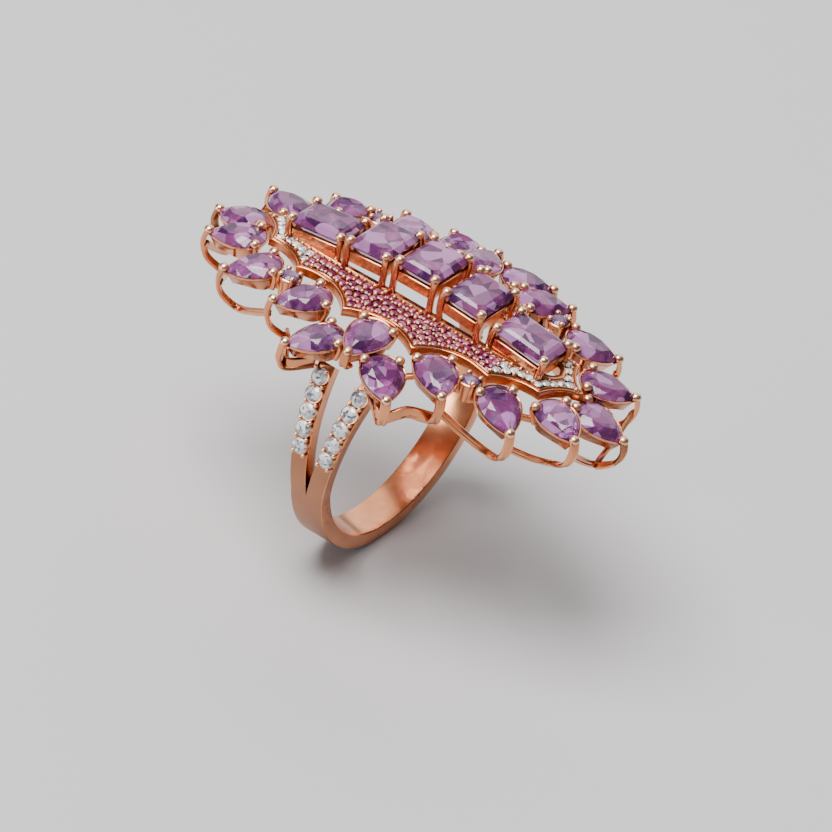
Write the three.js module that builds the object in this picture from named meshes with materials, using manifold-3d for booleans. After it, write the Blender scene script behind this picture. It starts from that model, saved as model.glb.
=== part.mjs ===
// Cocktail ring: a split shank under a long marquise head. The head is a row of five step-cut stones on
// baskets, a scalloped border plate with pavé around it, and a halo of twenty pear stones over a gallery.
// Millimetres. The origin is the centre of the finger hole. +Y is the finger's axis and +Z points to the head.

import * as THREE from "three";
import { ConvexGeometry } from "three/addons/geometries/ConvexGeometry.js";
import { mergeVertices } from "three/addons/utils/BufferGeometryUtils.js";
import Module from "manifold-3d";

// ---- Driving dimensions -------------------------------------------------------------------------------

const CLEARANCE = 0.04; // between a stone and its seat, and between soldered pieces

const FINGER_BORE = 17.3;

const BAND = {
  thickness: 1.03,
  width: 2.44,
  footDepth: 0.06, // how much is filed off the lowest point, for a flat to rest on
  stepsPerTurn: 72,
};

const BRANCH = {
  width: 1.22,
  splitAngle: -16, // degrees above the horizontal at which the shoulder divides
  topAngle: 35.5,
  spread: 1.08, // sideways travel of a branch for each radian of climb
  steps: 9,
};

const SHANK_DIAMOND = {
  count: 5,
  diameter: 1.0,
  belowTop: 3.073, // degrees from the topmost one down from its branch's end
  gap: 0.15,
  proud: 0.12, // height of the girdle above the branch
};

const PLATE = {
  belowBore: 0.12, // how far the plate's top lies under the finger hole's highest point
  crown: 0.0035, // the plate falls by this much times y squared
  thickness: 0.6,
  rim: 0.3,
  recess: 0.32,
  paveProud: 0.06, // the pavé stops this far below the rim
  pinkReach: 7.3, // the pavé changes from pink to white at this y
};

const ROW = {
  length: 4, // the step-cut stones' long side
  width: 3,
  corner: 0.35,
  crownHeight: 0.45,
  pavilionDepth: 1.2,
  girdle: 0.05,
  gap: 0.7,
  rise: [2.57, 2.15, 1.38], // girdle above the plate: middle stone, its neighbours, the end stones
  tilt: [0, 4.6, 6.9], // degrees, outward
  sideClear: 0.4, // the opening's edge lies this far inside the stones' ends
  endClear: 0.45, // and this far beyond the last stone
  railTop: 0.4, // rail below the girdle
  railHeight: 0.5,
  railWall: 0.25,
  barRadius: 0.16,
};

const PEAR = {
  length: 3.6,
  width: 2.8,
  crownHeight: 0.42,
  pavilionDepth: 1.3,
  girdle: 0.04,
  colletWall: 0.18,
  colletHeight: 1.05,
};

const ACCENT = {
  diameter: 1.2,
  cupWall: 0.14,
  cupHeight: 1.35,
};

const PRONG = {
  radius: 0.23,
  beadRadius: 0.3,
  beadTop: 0.5, // above the girdle
};

const SMALL_PRONG = {
  radius: 0.14,
  beadRadius: 0.19,
  beadTop: 0.32,
};

const GALLERY = {
  thickness: 0.35,
  height: 0.58,
  tieThickness: 0.4,
  tieHeight: 0.4,
};

// ---- Derived sizes -------------------------------------------------------------------------------------

const boreRadius = FINGER_BORE / 2;
const bandRadius = boreRadius + BAND.thickness;
const plateTop = (y) => boreRadius - PLATE.belowBore - PLATE.crown * y * y;

const endStoneY = ROW.width * 1.5 + ROW.gap * 2 + ROW.length / 2;
const rowEndY = endStoneY + ROW.length / 2;
const openingHalfWidth = ROW.length / 2 - ROW.sideClear;
const openingHalfLength = rowEndY + ROW.endClear;
// Half of the opening's width at y: full along its sides and rounded at its ends.
const openingEdge = (y) => openingHalfWidth * Math.sqrt(Math.max(1 - (y / openingHalfLength) ** 4, 0));

// CUSPS and HALO below are laid out for these sizes. They spread with whichever needs the most room: the pears
// side by side, the finger under the head, or the row inside it.
const LAYOUT = {
  pearLength: 3.6,
  pearWidth: 2.8,
  fingerBore: 17.3,
  openingHalfWidth: 1.6,
  openingHalfLength: 10.35,
};
const BORDER_REACH = 2.45; // from the opening to the border's hollow at its side
const spreadX = Math.max(
  PEAR.width / LAYOUT.pearWidth,
  FINGER_BORE / LAYOUT.fingerBore,
  (openingHalfWidth + BORDER_REACH) / (LAYOUT.openingHalfWidth + BORDER_REACH),
);
const spreadY = Math.max(PEAR.width / LAYOUT.pearWidth, openingHalfLength / LAYOUT.openingHalfLength);

// The outer corner of a branch's end, where the gallery comes down on the shank.
const landing = {
  x: bandRadius * Math.cos(THREE.MathUtils.degToRad(BRANCH.topAngle)),
  z: bandRadius * Math.sin(THREE.MathUtils.degToRad(BRANCH.topAngle)),
};

// Half of the border's cusps, from its side round to its tip, with the hollow of the scallop that follows.
const CUSPS = [
  { x: 5.33, y: 2.68, hollow: 0.95 },
  { x: 3.7, y: 7.39, hollow: 0.45 },
  { x: 2.28, y: 10.53, hollow: 0.38 },
  { x: 0, y: 12.44, hollow: 0.38 },
];
const SIDE_HOLLOW = 1.05;

// One quarter of the halo. x and y are the place of a pear's round end, which stays by the border. heading is
// its tip's direction in degrees from +X, pitch is how far it dips, and drop is how deep its middle lies below
// the plate's top. foot is where its wire lands, inward of the tip and below it. shoulder is how far round from
// the tip its other two prongs stand. The second pear stands beside the first one's tip, and moves out with it.
const HALO = [
  { x: 4.68933, y: 0, heading: 0, pitch: 12, drop: 0.27, foot: null, shoulder: 135 },
  { x: 6.69907, y: 1.46459, heading: 43.7, pitch: 16, drop: 1.16, foot: [0.5, 1.7], shoulder: 135, byTip: true },
  { x: 4.73935, y: 3.9519, heading: 45.4, pitch: 11, drop: 0.32, foot: [1.5, 2.7], shoulder: 135 },
  { x: 4.11092, y: 8.21404, heading: 55.7, pitch: 19, drop: 0.61, foot: [1.5, 2.6], shoulder: 135 },
  { x: 1.95084, y: 10.92343, heading: 65, pitch: 10, drop: 0.66, foot: [1.7, 2.7], shoulder: 135 },
  { x: 0, y: 12.22133, heading: 90, pitch: 15, drop: 1.15, foot: [1.5, 2.4], shoulder: 157 },
];
// Rise of the rail between each foot and the next. The first arch lies on the shank's branches instead.
const GALLERY_ARCH = [null, 0.5, 1.2, 1.2, 0.9];
const SHANK_FOOT = { beyond: 0.155, above: 0.334, archBeyond: 0.64 }; // from the branches' ends
const ACCENT_SEAT = { x: 4.93, y: 7.0, drop: 0.02 };

// ---- Materials -----------------------------------------------------------------------------------------

const finish = (color, roughness, metalness) =>
  new THREE.MeshStandardMaterial({ color, roughness, metalness });
const roseGold = finish(0xd9926c, 0.22, 1);
const satinRoseGold = finish(0xc98662, 0.38, 1);
const amethyst = finish(0xa77bc4, 0.06, 0);
const smallAmethyst = finish(0x8d6ca6, 0.08, 0);
const pinkSapphire = finish(0xb4467e, 0.15, 0);
const diamond = finish(0xe9edf2, 0.04, 0);

// ---- Solids ---------------------------------------------------------------------------------------------

const wasm = await Module();
wasm.setup();

const ring = new THREE.Group();
const radians = THREE.MathUtils.degToRad;
const point = (x, y, z) => new THREE.Vector3(x, y, z);

// A closed three.js geometry as a manifold solid.
function solid(geometry, matrix = new THREE.Matrix4()) {
  const bare = geometry.clone().applyMatrix4(matrix);
  bare.deleteAttribute("normal");
  bare.deleteAttribute("uv");
  const merged = mergeVertices(bare, 1e-4);
  const faces = [];
  for (let i = 0; i < merged.index.count; i += 3) {
    const face = [0, 1, 2].map((k) => merged.index.array[i + k]);
    if (new Set(face).size === 3) faces.push(...face);
  }
  const mesh = new wasm.Mesh({
    numProp: 3,
    vertProperties: merged.attributes.position.array,
    triVerts: new Uint32Array(faces),
  });
  return new wasm.Manifold(mesh);
}

const join = (solids) => solids.reduce((sum, next) => sum.add(next));

// Adds a named sub-part to the ring.
function addPart(name, made, material) {
  const { vertProperties, triVerts } = made.getMesh();
  const geometry = new THREE.BufferGeometry();
  geometry.setAttribute("position", new THREE.BufferAttribute(new Float32Array(vertProperties), 3));
  geometry.setIndex(new THREE.BufferAttribute(new Uint32Array(triVerts), 1));
  geometry.computeVertexNormals();
  const mesh = new THREE.Mesh(geometry, material);
  mesh.name = name;
  ring.add(mesh);
}

// Moves each vertex of a geometry to where place(vertex) says.
function remap(geometry, place) {
  const position = geometry.attributes.position;
  const vertex = new THREE.Vector3();
  for (let i = 0; i < position.count; i++) {
    vertex.fromBufferAttribute(position, i);
    const { x, y, z } = place(vertex);
    position.setXYZ(i, x, y, z);
  }
  return geometry;
}

const rectangle = (width, height) => [
  new THREE.Vector2(-width / 2, -height / 2),
  new THREE.Vector2(width / 2, -height / 2),
  new THREE.Vector2(width / 2, height / 2),
  new THREE.Vector2(-width / 2, height / 2),
];

const polygon = (radius, sides) =>
  Array.from({ length: sides }, (_, i) => {
    const turn = ((i + 0.5) / sides) * Math.PI * 2;
    return new THREE.Vector2(radius * Math.cos(turn), radius * Math.sin(turn));
  });

// A flat plate with an optional hole, from z = 0 up to height.
function slab(outline, hole, height) {
  const shape = new THREE.Shape(outline);
  if (hole) shape.holes.push(new THREE.Path(hole));
  return new THREE.ExtrudeGeometry(shape, { depth: height, bevelEnabled: false });
}

// A closed ribbon round a closed curve, its section upright: width across the curve, height along Z.
function ribbonLoop(curve, width, height, steps) {
  const away = 10;
  const profile = rectangle(width, height).map((p) => new THREE.Vector2(p.x + away, p.y));
  profile.push(profile[0].clone());
  return remap(new THREE.LatheGeometry(profile, steps), ({ x, y, z }) => {
    const share = (Math.atan2(x, z) / (Math.PI * 2) + 1) % 1;
    const centre = curve.getPoint(share);
    const tangent = curve.getTangent(share);
    const side = Math.hypot(x, z) - away;
    const across = point(tangent.y, -tangent.x, 0).normalize();
    return centre.addScaledVector(across, side).add(point(0, 0, y));
  });
}

// A wire of round section along an open curve.
function wire(curve, radius, steps) {
  const shape = new THREE.Shape(polygon(radius, 5));
  return new THREE.ExtrudeGeometry(shape, { steps, extrudePath: curve, bevelEnabled: false });
}

// A prong: a stem from foot to head with a rounded bead on its end.
function prong(foot, head, size, sides = 6) {
  const along = head.clone().sub(foot);
  const length = along.length();
  const bead = size.beadRadius;
  const profile = [
    new THREE.Vector2(0, 0),
    new THREE.Vector2(size.radius, 0),
    new THREE.Vector2(size.radius, length - bead * 1.4),
    new THREE.Vector2(bead, length - bead * 0.6),
    new THREE.Vector2(0, length),
  ];
  const turn = new THREE.Quaternion().setFromUnitVectors(point(0, 1, 0), along.normalize());
  const place = new THREE.Matrix4().compose(foot, turn, point(1, 1, 1));
  return solid(new THREE.LatheGeometry(profile, sides), place);
}

// Points of a loop moved sideways by distance: inwards where it is negative. The loop runs anticlockwise.
function offsetLoop(loop, distance) {
  return loop.map((here, i) => {
    const before = loop[(i + loop.length - 1) % loop.length];
    const after = loop[(i + 1) % loop.length];
    const into = here.clone().sub(before).normalize();
    const out = after.clone().sub(here).normalize();
    const normal = new THREE.Vector2(into.y + out.y, -into.x - out.x).normalize();
    const lean = Math.max(normal.x * out.y - normal.y * out.x, 0.4);
    return here.clone().addScaledVector(normal, distance / lean);
  });
}

// ---- Stones ---------------------------------------------------------------------------------------------

const ringOf = (outline, scale, z) => outline.map((p) => point(p.x * scale, p.y * scale, z));

// A point on a pear's girdle, turn radians round from its tip at +X. The pear is centred on its own middle.
function pearPoint(length, width, turn) {
  const swell = Math.sin(turn) * Math.abs(Math.sin(turn / 2)) ** 0.6;
  const widest = 0.843; // the greatest value of swell
  return new THREE.Vector2((length / 2) * Math.cos(turn), ((width / 2) * swell) / widest);
}

const pearOutline = (length, width, count) =>
  Array.from({ length: count }, (_, i) => pearPoint(length, width, (i / count) * Math.PI * 2));

// A brilliant-cut stone on any outline of 16 points: its table, crown, girdle, pavilion and culet.
function brilliant(outline, crownHeight, pavilionDepth, girdle) {
  const mains = outline.filter((_, i) => i % 2 === 0);
  const halves = outline.filter((_, i) => i % 2 === 1);
  return new ConvexGeometry([
    ...ringOf(halves, 0.56, crownHeight),
    ...ringOf(mains, 0.8, girdle + (crownHeight - girdle) * 0.62),
    ...ringOf(outline, 1, girdle),
    ...ringOf(outline, 1, -girdle),
    ...ringOf(halves, 0.52, -girdle - (pavilionDepth - girdle) * 0.52),
    point(0, 0, -pavilionDepth),
  ]);
}

// A small single-cut stone, eight-sided.
function singleCut(diameter) {
  const outline = polygon(diameter / 2, 8);
  return new ConvexGeometry([
    ...ringOf(outline, 0.6, diameter * 0.15),
    ...ringOf(outline, 1, diameter * 0.02),
    ...ringOf(outline, 1, -diameter * 0.02),
    point(0, 0, -diameter * 0.43),
  ]);
}

// A step-cut stone: each step is the girdle's outline drawn in by inset, at its own height.
function stepCut(length, width) {
  const step = (inset, z) => {
    const x = length / 2 - inset;
    const y = width / 2 - inset;
    const corner = Math.min(ROW.corner, y * 0.7);
    const quarter = [[x, y - corner], [x - corner, y]];
    return [[1, 1], [1, -1], [-1, 1], [-1, -1]].flatMap(([a, b]) =>
      quarter.map(([p, q]) => point(a * p, b * q, z)),
    );
  };
  const up = ROW.crownHeight - ROW.girdle;
  const down = ROW.pavilionDepth - ROW.girdle;
  const narrow = Math.min(length, width) / 2;
  return new ConvexGeometry([
    ...step(narrow * 0.4, ROW.crownHeight),
    ...step(narrow * 0.19, ROW.girdle + up * 0.62),
    ...step(0, ROW.girdle),
    ...step(0, -ROW.girdle),
    ...step(narrow * 0.24, -ROW.girdle - down * 0.36),
    ...step(narrow * 0.52, -ROW.girdle - down * 0.72),
    ...step(narrow * 0.85, -ROW.pavilionDepth),
  ]);
}

const pearStone = () =>
  brilliant(pearOutline(PEAR.length, PEAR.width, 16), PEAR.crownHeight, PEAR.pavilionDepth, PEAR.girdle);

// ---- Places ---------------------------------------------------------------------------------------------

// A seat is a stone's own frame: its middle, its tip's heading and how far the tip dips.
function seat(x, y, z, heading, pitch) {
  const turn = new THREE.Matrix4().makeRotationZ(radians(heading));
  const dip = new THREE.Matrix4().makeRotationY(radians(pitch));
  return new THREE.Matrix4().makeTranslation(x, y, z).multiply(turn).multiply(dip);
}

// All twenty pears, anticlockwise from +X, each with its seat and the place of its wire's foot.
function haloSeats() {
  const flipY = (h) => ({ ...h, y: -h.y, heading: -h.heading });
  const flipX = (h) => ({ ...h, x: -h.x, heading: 180 - h.heading });
  const between = HALO.slice(1, -1);
  const half = [...HALO, ...between.map(flipX).reverse(), flipX(HALO[0])];
  const otherHalf = half.slice(1, -1).map(flipY).reverse();
  return [...half, ...otherHalf].map((h) => {
    const reach = (PEAR.length / 2) * Math.cos(radians(h.pitch));
    const outward = h.byTip ? Math.sign(h.x) * (PEAR.length - LAYOUT.pearLength) : 0;
    const x = h.x * spreadX + outward + reach * Math.cos(radians(h.heading));
    const y = h.y * spreadY + reach * Math.sin(radians(h.heading));
    const matrix = seat(x, y, plateTop(y) - h.drop, h.heading, h.pitch);
    const tip = point(PEAR.length / 2 + PRONG.radius + CLEARANCE / 2, 0, 0).applyMatrix4(matrix);
    const inward = point(-Math.cos(radians(h.heading)), -Math.sin(radians(h.heading)), 0);
    const foot = h.foot
      ? tip.clone().addScaledVector(inward, h.foot[0]).add(point(0, 0, -h.foot[1]))
      : point(Math.sign(x) * (landing.x + SHANK_FOOT.beyond), 0, landing.z + SHANK_FOOT.above);
    return { matrix, tip, inward, foot, shoulder: pearPoint(PEAR.length, PEAR.width, radians(h.shoulder)) };
  });
}

const halo = haloSeats();

function rowSeats() {
  const middleY = ROW.width + ROW.gap;
  const stones = [
    { y: -endStoneY, across: ROW.width, along: ROW.length, level: 2 },
    { y: -middleY, across: ROW.length, along: ROW.width, level: 1 },
    { y: 0, across: ROW.length, along: ROW.width, level: 0 },
    { y: middleY, across: ROW.length, along: ROW.width, level: 1 },
    { y: endStoneY, across: ROW.width, along: ROW.length, level: 2 },
  ];
  return stones.map((s) => {
    const tilt = new THREE.Matrix4().makeRotationX(-Math.sign(s.y) * radians(ROW.tilt[s.level]));
    const z = plateTop(s.y) + ROW.rise[s.level];
    return { ...s, matrix: new THREE.Matrix4().makeTranslation(0, s.y, z).multiply(tilt) };
  });
}

// ---- Split shank and its diamonds -------------------------------------------------------------------------

// A bar bent round the finger hole. angles run from start to end in degrees above the +X horizontal, and
// middle(angle) gives the bar's sideways place.
function bentBar(width, start, end, steps, middle) {
  const section = new THREE.Shape(rectangle(width, BAND.thickness));
  const bar = new THREE.ExtrudeGeometry(section, { depth: 1, steps, bevelEnabled: false });
  return remap(bar, ({ x, y, z }) => {
    const angle = radians(start + (end - start) * z);
    const radius = boreRadius + BAND.thickness / 2 + y;
    return point(radius * Math.cos(angle), middle(angle) - x, radius * Math.sin(angle));
  });
}

const splitStart = radians(BRANCH.splitAngle);
const branchMiddle = (angle) => BRANCH.width / 2 + BRANCH.spread * (angle - splitStart);

const stepAngle = 360 / BAND.stepsPerTurn;
const pitchAngle = (SHANK_DIAMOND.diameter + SHANK_DIAMOND.gap) / bandRadius;

const SIDES = [
  { name: "near_left", x: 1, y: -1 },
  { name: "near_right", x: 1, y: 1 },
  { name: "far_left", x: -1, y: -1 },
  { name: "far_right", x: -1, y: 1 },
];

function shankDiamonds() {
  const seats = [];
  const topmost = radians(BRANCH.topAngle - SHANK_DIAMOND.belowTop);
  for (const side of SIDES) {
    for (let i = 0; i < SHANK_DIAMOND.count; i++) {
      const angle = topmost - (SHANK_DIAMOND.count - 1 - i) * pitchAngle;
      const up = new THREE.Quaternion().setFromUnitVectors(
        point(0, 0, 1),
        point(side.x * Math.cos(angle), 0, Math.sin(angle)),
      );
      const radius = bandRadius + SHANK_DIAMOND.proud;
      const place = point(
        side.x * radius * Math.cos(angle),
        side.y * branchMiddle(angle),
        radius * Math.sin(angle),
      );
      const matrix = new THREE.Matrix4().compose(place, up, point(1, 1, 1));
      seats.push({ name: `shank_diamond_${side.name}_${i + 1}`, matrix });
    }
  }
  return seats;
}

function splitShank(diamonds) {
  const farSplit = -180 - BRANCH.splitAngle;
  const hoopSteps = Math.round((BRANCH.splitAngle - farSplit) / stepAngle);
  const hoop = bentBar(BAND.width, farSplit, BRANCH.splitAngle, hoopSteps, () => 0);
  const overlap = stepAngle / 2;
  const branches = SIDES.map((side) => {
    const start = BRANCH.splitAngle - overlap;
    const bar = bentBar(BRANCH.width, start, BRANCH.topAngle, BRANCH.steps, branchMiddle);
    return solid(bar).scale([side.x, side.y, 1]);
  });
  const raw = join([solid(hoop), ...branches]);
  const { diameter, proud } = SHANK_DIAMOND;
  const pocketDepth = 0.5;
  const pocket = new THREE.CylinderGeometry(diameter * 0.45, diameter * 0.1, pocketDepth, 8);
  pocket.rotateX(Math.PI / 2).translate(0, 0, -proud - pocketDepth * 0.4);
  const pockets = join(diamonds.map((d) => solid(pocket, d.matrix)));
  const foot = new THREE.BoxGeometry(FINGER_BORE, BAND.width * 2, 1);
  foot.translate(0, 0, -bandRadius + BAND.footDepth - 0.5);
  return raw.subtract(pockets).subtract(solid(foot));
}

// ---- Border plate and its pavé ------------------------------------------------------------------------------

// The border's outer edge: fourteen cusps that point outwards, with a hollow scallop after each.
function borderOutline() {
  const upper = CUSPS.map((c) => point(c.x * spreadX, c.y * spreadY, 0));
  const lower = upper.map((c) => point(c.x, -c.y, 0)).reverse();
  const hollows = CUSPS.slice(0, -1).map((c) => c.hollow);
  const side = [...lower, ...upper].slice(0, -1);
  const depths = [...hollows.slice().reverse(), SIDE_HOLLOW, ...hollows];
  const cusps = [...side, ...side.map((c) => c.clone().negate())];
  const shape = new THREE.Shape();
  shape.moveTo(cusps[0].x, cusps[0].y);
  cusps.forEach((here, i) => {
    const next = cusps[(i + 1) % cusps.length];
    const middle = here.clone().add(next).multiplyScalar(0.5);
    const inward = point(here.y - next.y, next.x - here.x, 0).normalize();
    middle.addScaledVector(inward, 2 * depths[i % depths.length]);
    shape.quadraticCurveTo(middle.x, middle.y, next.x, next.y);
  });
  return shape.getPoints(5).slice(0, -1);
}

// The opening under the centre row: a slot with full sides and rounded ends.
function openingOutline() {
  const count = 36;
  return Array.from({ length: count }, (_, i) => {
    const turn = ((i + 0.5) / count) * Math.PI * 2;
    const climb = Math.sign(Math.sin(turn)) * Math.sqrt(Math.abs(Math.sin(turn)));
    return new THREE.Vector2(openingHalfWidth * Math.cos(turn), openingHalfLength * climb);
  });
}

// A sheet that follows the plate's crown, from low to high above the plate's top and wider than the head.
function crownSheet(low, high) {
  const reach = CUSPS[CUSPS.length - 1].y * spreadY + 1;
  const steps = 12;
  const level = (offset) =>
    Array.from({ length: steps + 1 }, (_, i) => {
      const y = reach * ((2 * i) / steps - 1);
      return new THREE.Vector2(y, plateTop(y) + offset);
    });
  const width = FINGER_BORE * 2;
  const sheet = slab([...level(low), ...level(high).reverse()], null, width);
  return solid(remap(sheet, ({ x, y, z }) => point(z - width / 2, x, y)));
}

// An upright prism on an outline with a hole, tall enough to cut right through the plate.
function upright(outline, hole) {
  const tall = boreRadius * 2;
  return solid(slab(outline, hole, tall));
}

function borderPlate(outer, opening) {
  const bed = upright(offsetLoop(outer, -PLATE.rim), offsetLoop(opening, PLATE.rim));
  const plate = upright(outer, opening).intersect(crownSheet(-PLATE.thickness, 0));
  return plate.subtract(bed.intersect(crownSheet(-PLATE.recess, 1)));
}

// The stones of one stretch of pavé, joined as one sheet that lies in the plate's bed.
function paveSheet(outer, opening, low, high) {
  const inset = PLATE.rim + CLEARANCE;
  const reach = high.clone().sub(low);
  const box = new THREE.BoxGeometry(reach.x, reach.y, reach.z);
  box.translate(low.x + reach.x / 2, low.y + reach.y / 2, low.z + reach.z / 2);
  return upright(offsetLoop(outer, -inset), offsetLoop(opening, inset))
    .intersect(crownSheet(-PLATE.recess + CLEARANCE, -PLATE.paveProud))
    .intersect(solid(box));
}

// ---- Centre row ---------------------------------------------------------------------------------------------

// The four struts of a stone, each from its foot on the plate's rim up to its head at the stone's corner.
function rowStruts(s) {
  const inset = ROW.corner / 2 - (PRONG.radius + CLEARANCE) * Math.SQRT1_2;
  return [[1, 1], [-1, 1], [-1, -1], [1, -1]].map(([x, y]) => {
    const corner = point(x * (s.across / 2 - inset), y * (s.along / 2 - inset), PRONG.beadTop);
    const head = corner.applyMatrix4(s.matrix);
    const edge = openingEdge(head.y) + PLATE.rim / 2;
    const widest = openingHalfWidth + PLATE.rim / 2;
    const reach = Math.max(edge, Math.min(widest, Math.abs(head.x)));
    return { x, y, head, foot: point(x * reach, head.y, plateTop(head.y) + CLEARANCE) };
  });
}

// The rail under a stone's girdle. Its corners stay on the struts, wherever they lean to.
function rowRail(s, struts) {
  const back = s.matrix.clone().invert();
  const corners = struts.map(({ x, y, head, foot }) => {
    const top = head.clone().applyMatrix4(back);
    const bottom = foot.clone().applyMatrix4(back);
    const middle = -ROW.railTop - ROW.railHeight / 2;
    const there = top.clone().lerp(bottom, (top.z - middle) / (top.z - bottom.z));
    return new THREE.Vector2(
      x * Math.max(s.across / 2, Math.abs(there.x)),
      y * Math.max(s.along / 2, Math.abs(there.y)),
    );
  });
  const rail = slab(corners, offsetLoop(corners, -ROW.railWall).reverse(), ROW.railHeight);
  rail.translate(0, 0, -ROW.railTop - ROW.railHeight);
  return solid(rail, s.matrix);
}

// A rail and four struts for each stone, with a low bar on the plate's rim from each stone's feet to the next's.
function centreRow(seats) {
  const struts = seats.map(rowStruts);
  const pieces = seats.map((s, i) => rowRail(s, struts[i]));
  for (const { foot, head } of struts.flat()) {
    pieces.push(prong(foot, head, PRONG, 5));
  }
  const barHeight = point(0, 0, ROW.barRadius);
  seats.slice(1).forEach((_, i) => {
    for (const x of [1, -1]) {
      const from = struts[i].find((t) => t.x === x && t.y === 1).foot.clone().add(barHeight);
      const to = struts[i + 1].find((t) => t.x === x && t.y === -1).foot.clone().add(barHeight);
      pieces.push(solid(wire(new THREE.LineCurve3(from, to), ROW.barRadius, 1)));
    }
  });
  return join(pieces);
}

// ---- Halo and gallery -----------------------------------------------------------------------------------------

// A pear's collet: a thin tapering wall that follows the girdle, with the seat along its upper edge.
function collet() {
  const wall = 2 * PEAR.colletWall;
  const outer = pearOutline(PEAR.length + wall, PEAR.width + wall, 12);
  const inner = pearOutline(PEAR.length + CLEARANCE, PEAR.width + CLEARANCE, 12);
  const taper = 0.24;
  const top = -PEAR.girdle - CLEARANCE;
  return remap(slab(outer, inner.reverse(), PEAR.colletHeight), ({ x, y, z }) => {
    const scale = 1 - taper * (1 - z / PEAR.colletHeight);
    return point(x * scale, y * scale, z + top - PEAR.colletHeight);
  });
}

// The wire that carries a pear's tip: straight down from its bead, then round and in to its foot.
function tipWire({ tip, inward, foot }) {
  const stemLength = 1;
  const stemEnd = tip.clone().add(point(0, 0, -stemLength));
  const drop = stemEnd.z - foot.z;
  const curve = new THREE.CatmullRomCurve3([
    stemEnd.clone().add(point(0, 0, PRONG.radius)),
    foot.clone().addScaledVector(inward, -0.3).add(point(0, 0, drop * 0.35)),
    foot,
  ]);
  const stem = prong(stemEnd, tip.clone().add(point(0, 0, PRONG.beadTop)), PRONG, 5);
  return stem.add(solid(wire(curve, PRONG.radius * 0.95, 3)));
}

// The tie under the collets: a low ring that runs beneath their round ends.
function tieLoop() {
  const under = halo.map(({ matrix }) => {
    const low = -PEAR.girdle - PEAR.colletHeight;
    return point(-PEAR.length * 0.26, 0, low).applyMatrix4(matrix);
  });
  return new THREE.CatmullRomCurve3(under, true);
}

const accentSeats = () =>
  [[1, 1], [-1, 1], [-1, -1], [1, -1]].map(([a, b]) => {
    const y = ACCENT_SEAT.y * spreadY;
    return seat(a * ACCENT_SEAT.x * spreadX, b * y, plateTop(y) - ACCENT_SEAT.drop, 0, 0);
  });

// A round cup on four small prongs.
function accentCup(matrix) {
  const radius = ACCENT.diameter / 2;
  const inner = polygon(radius + CLEARANCE / 2, 8).reverse();
  const wall = slab(polygon(radius + ACCENT.cupWall, 8), inner, ACCENT.cupHeight);
  wall.translate(0, 0, -ACCENT.cupHeight - ACCENT.diameter * 0.05);
  const prongs = [45, 135, 225, 315].map((turn) => {
    const x = (radius + SMALL_PRONG.radius) * Math.cos(radians(turn));
    const y = (radius + SMALL_PRONG.radius) * Math.sin(radians(turn));
    const foot = point(x, y, -ACCENT.cupHeight * 0.6).applyMatrix4(matrix);
    return prong(foot, point(x, y, SMALL_PRONG.beadTop).applyMatrix4(matrix), SMALL_PRONG, 5);
  });
  return join([solid(wall, matrix), ...prongs]);
}

function outerSetting(accents) {
  const pieces = [];
  for (const pear of halo) {
    const { x, y } = pear.shoulder.clone().setLength(pear.shoulder.length() + PRONG.radius + CLEARANCE / 2);
    pieces.push(solid(collet(), pear.matrix), tipWire(pear));
    for (const sign of [-1, 1]) {
      const foot = point(x, sign * y, -PEAR.colletHeight * 0.9);
      const head = point(x, sign * y, PRONG.beadTop);
      pieces.push(prong(foot.applyMatrix4(pear.matrix), head.applyMatrix4(pear.matrix), PRONG, 5));
    }
  }
  pieces.push(solid(ribbonLoop(tieLoop(), GALLERY.tieThickness, GALLERY.tieHeight, 40)));
  pieces.push(...accents.map(accentCup));
  return join(pieces);
}

// The lower rail: lowest at the foot of each wire and arched up between them.
function galleryRail() {
  const rises = [...GALLERY_ARCH, ...GALLERY_ARCH.slice().reverse()];
  const below = GALLERY.height / 2 + PRONG.radius;
  const path = halo.flatMap((here, i) => {
    const next = halo[(i + 1) % halo.length];
    const arch = here.foot.clone().add(next.foot).multiplyScalar(0.5);
    const rise = rises[i % rises.length];
    if (rise === null) {
      arch.x = Math.sign(arch.x) * (landing.x + SHANK_FOOT.archBeyond);
      arch.z = landing.z + CLEARANCE + GALLERY.height / 2 + below;
    } else {
      arch.z += rise;
    }
    return [here.foot, arch].map((p) => p.clone().add(point(0, 0, -below)));
  });
  const course = new THREE.CatmullRomCurve3(path, true);
  return solid(ribbonLoop(course, GALLERY.thickness, GALLERY.height, 80));
}

// ---- Assembly ---------------------------------------------------------------------------------------------------

const diamonds = shankDiamonds();
const row = rowSeats();
const accents = accentSeats();
const outer = borderOutline();
const opening = openingOutline();
const far = FINGER_BORE * 2;
const pink = PLATE.pinkReach * spreadY;
const shankBody = splitShank(diamonds);

addPart("split_shank", shankBody, satinRoseGold);
addPart("gallery_rail", galleryRail(), roseGold);
addPart("outer_setting_frame", outerSetting(accents), roseGold);
addPart("border_frame", borderPlate(outer, opening), roseGold);
addPart("centre_row_setting", centreRow(row), roseGold);

const gapY = CLEARANCE / 2;
const sheets = [
  { name: "pink_pave_near", low: point(0, gapY - pink, -far), high: point(far, pink - gapY, far) },
  { name: "pink_pave_far", low: point(-far, gapY - pink, -far), high: point(0, pink - gapY, far) },
  { name: "white_pave_left", low: point(-far, -far, -far), high: point(far, -pink - gapY, far) },
  { name: "white_pave_right", low: point(-far, pink + gapY, -far), high: point(far, far, far) },
];
for (const { name, low, high } of sheets) {
  addPart(name, paveSheet(outer, opening, low, high), name.startsWith("pink") ? pinkSapphire : diamond);
}

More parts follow.
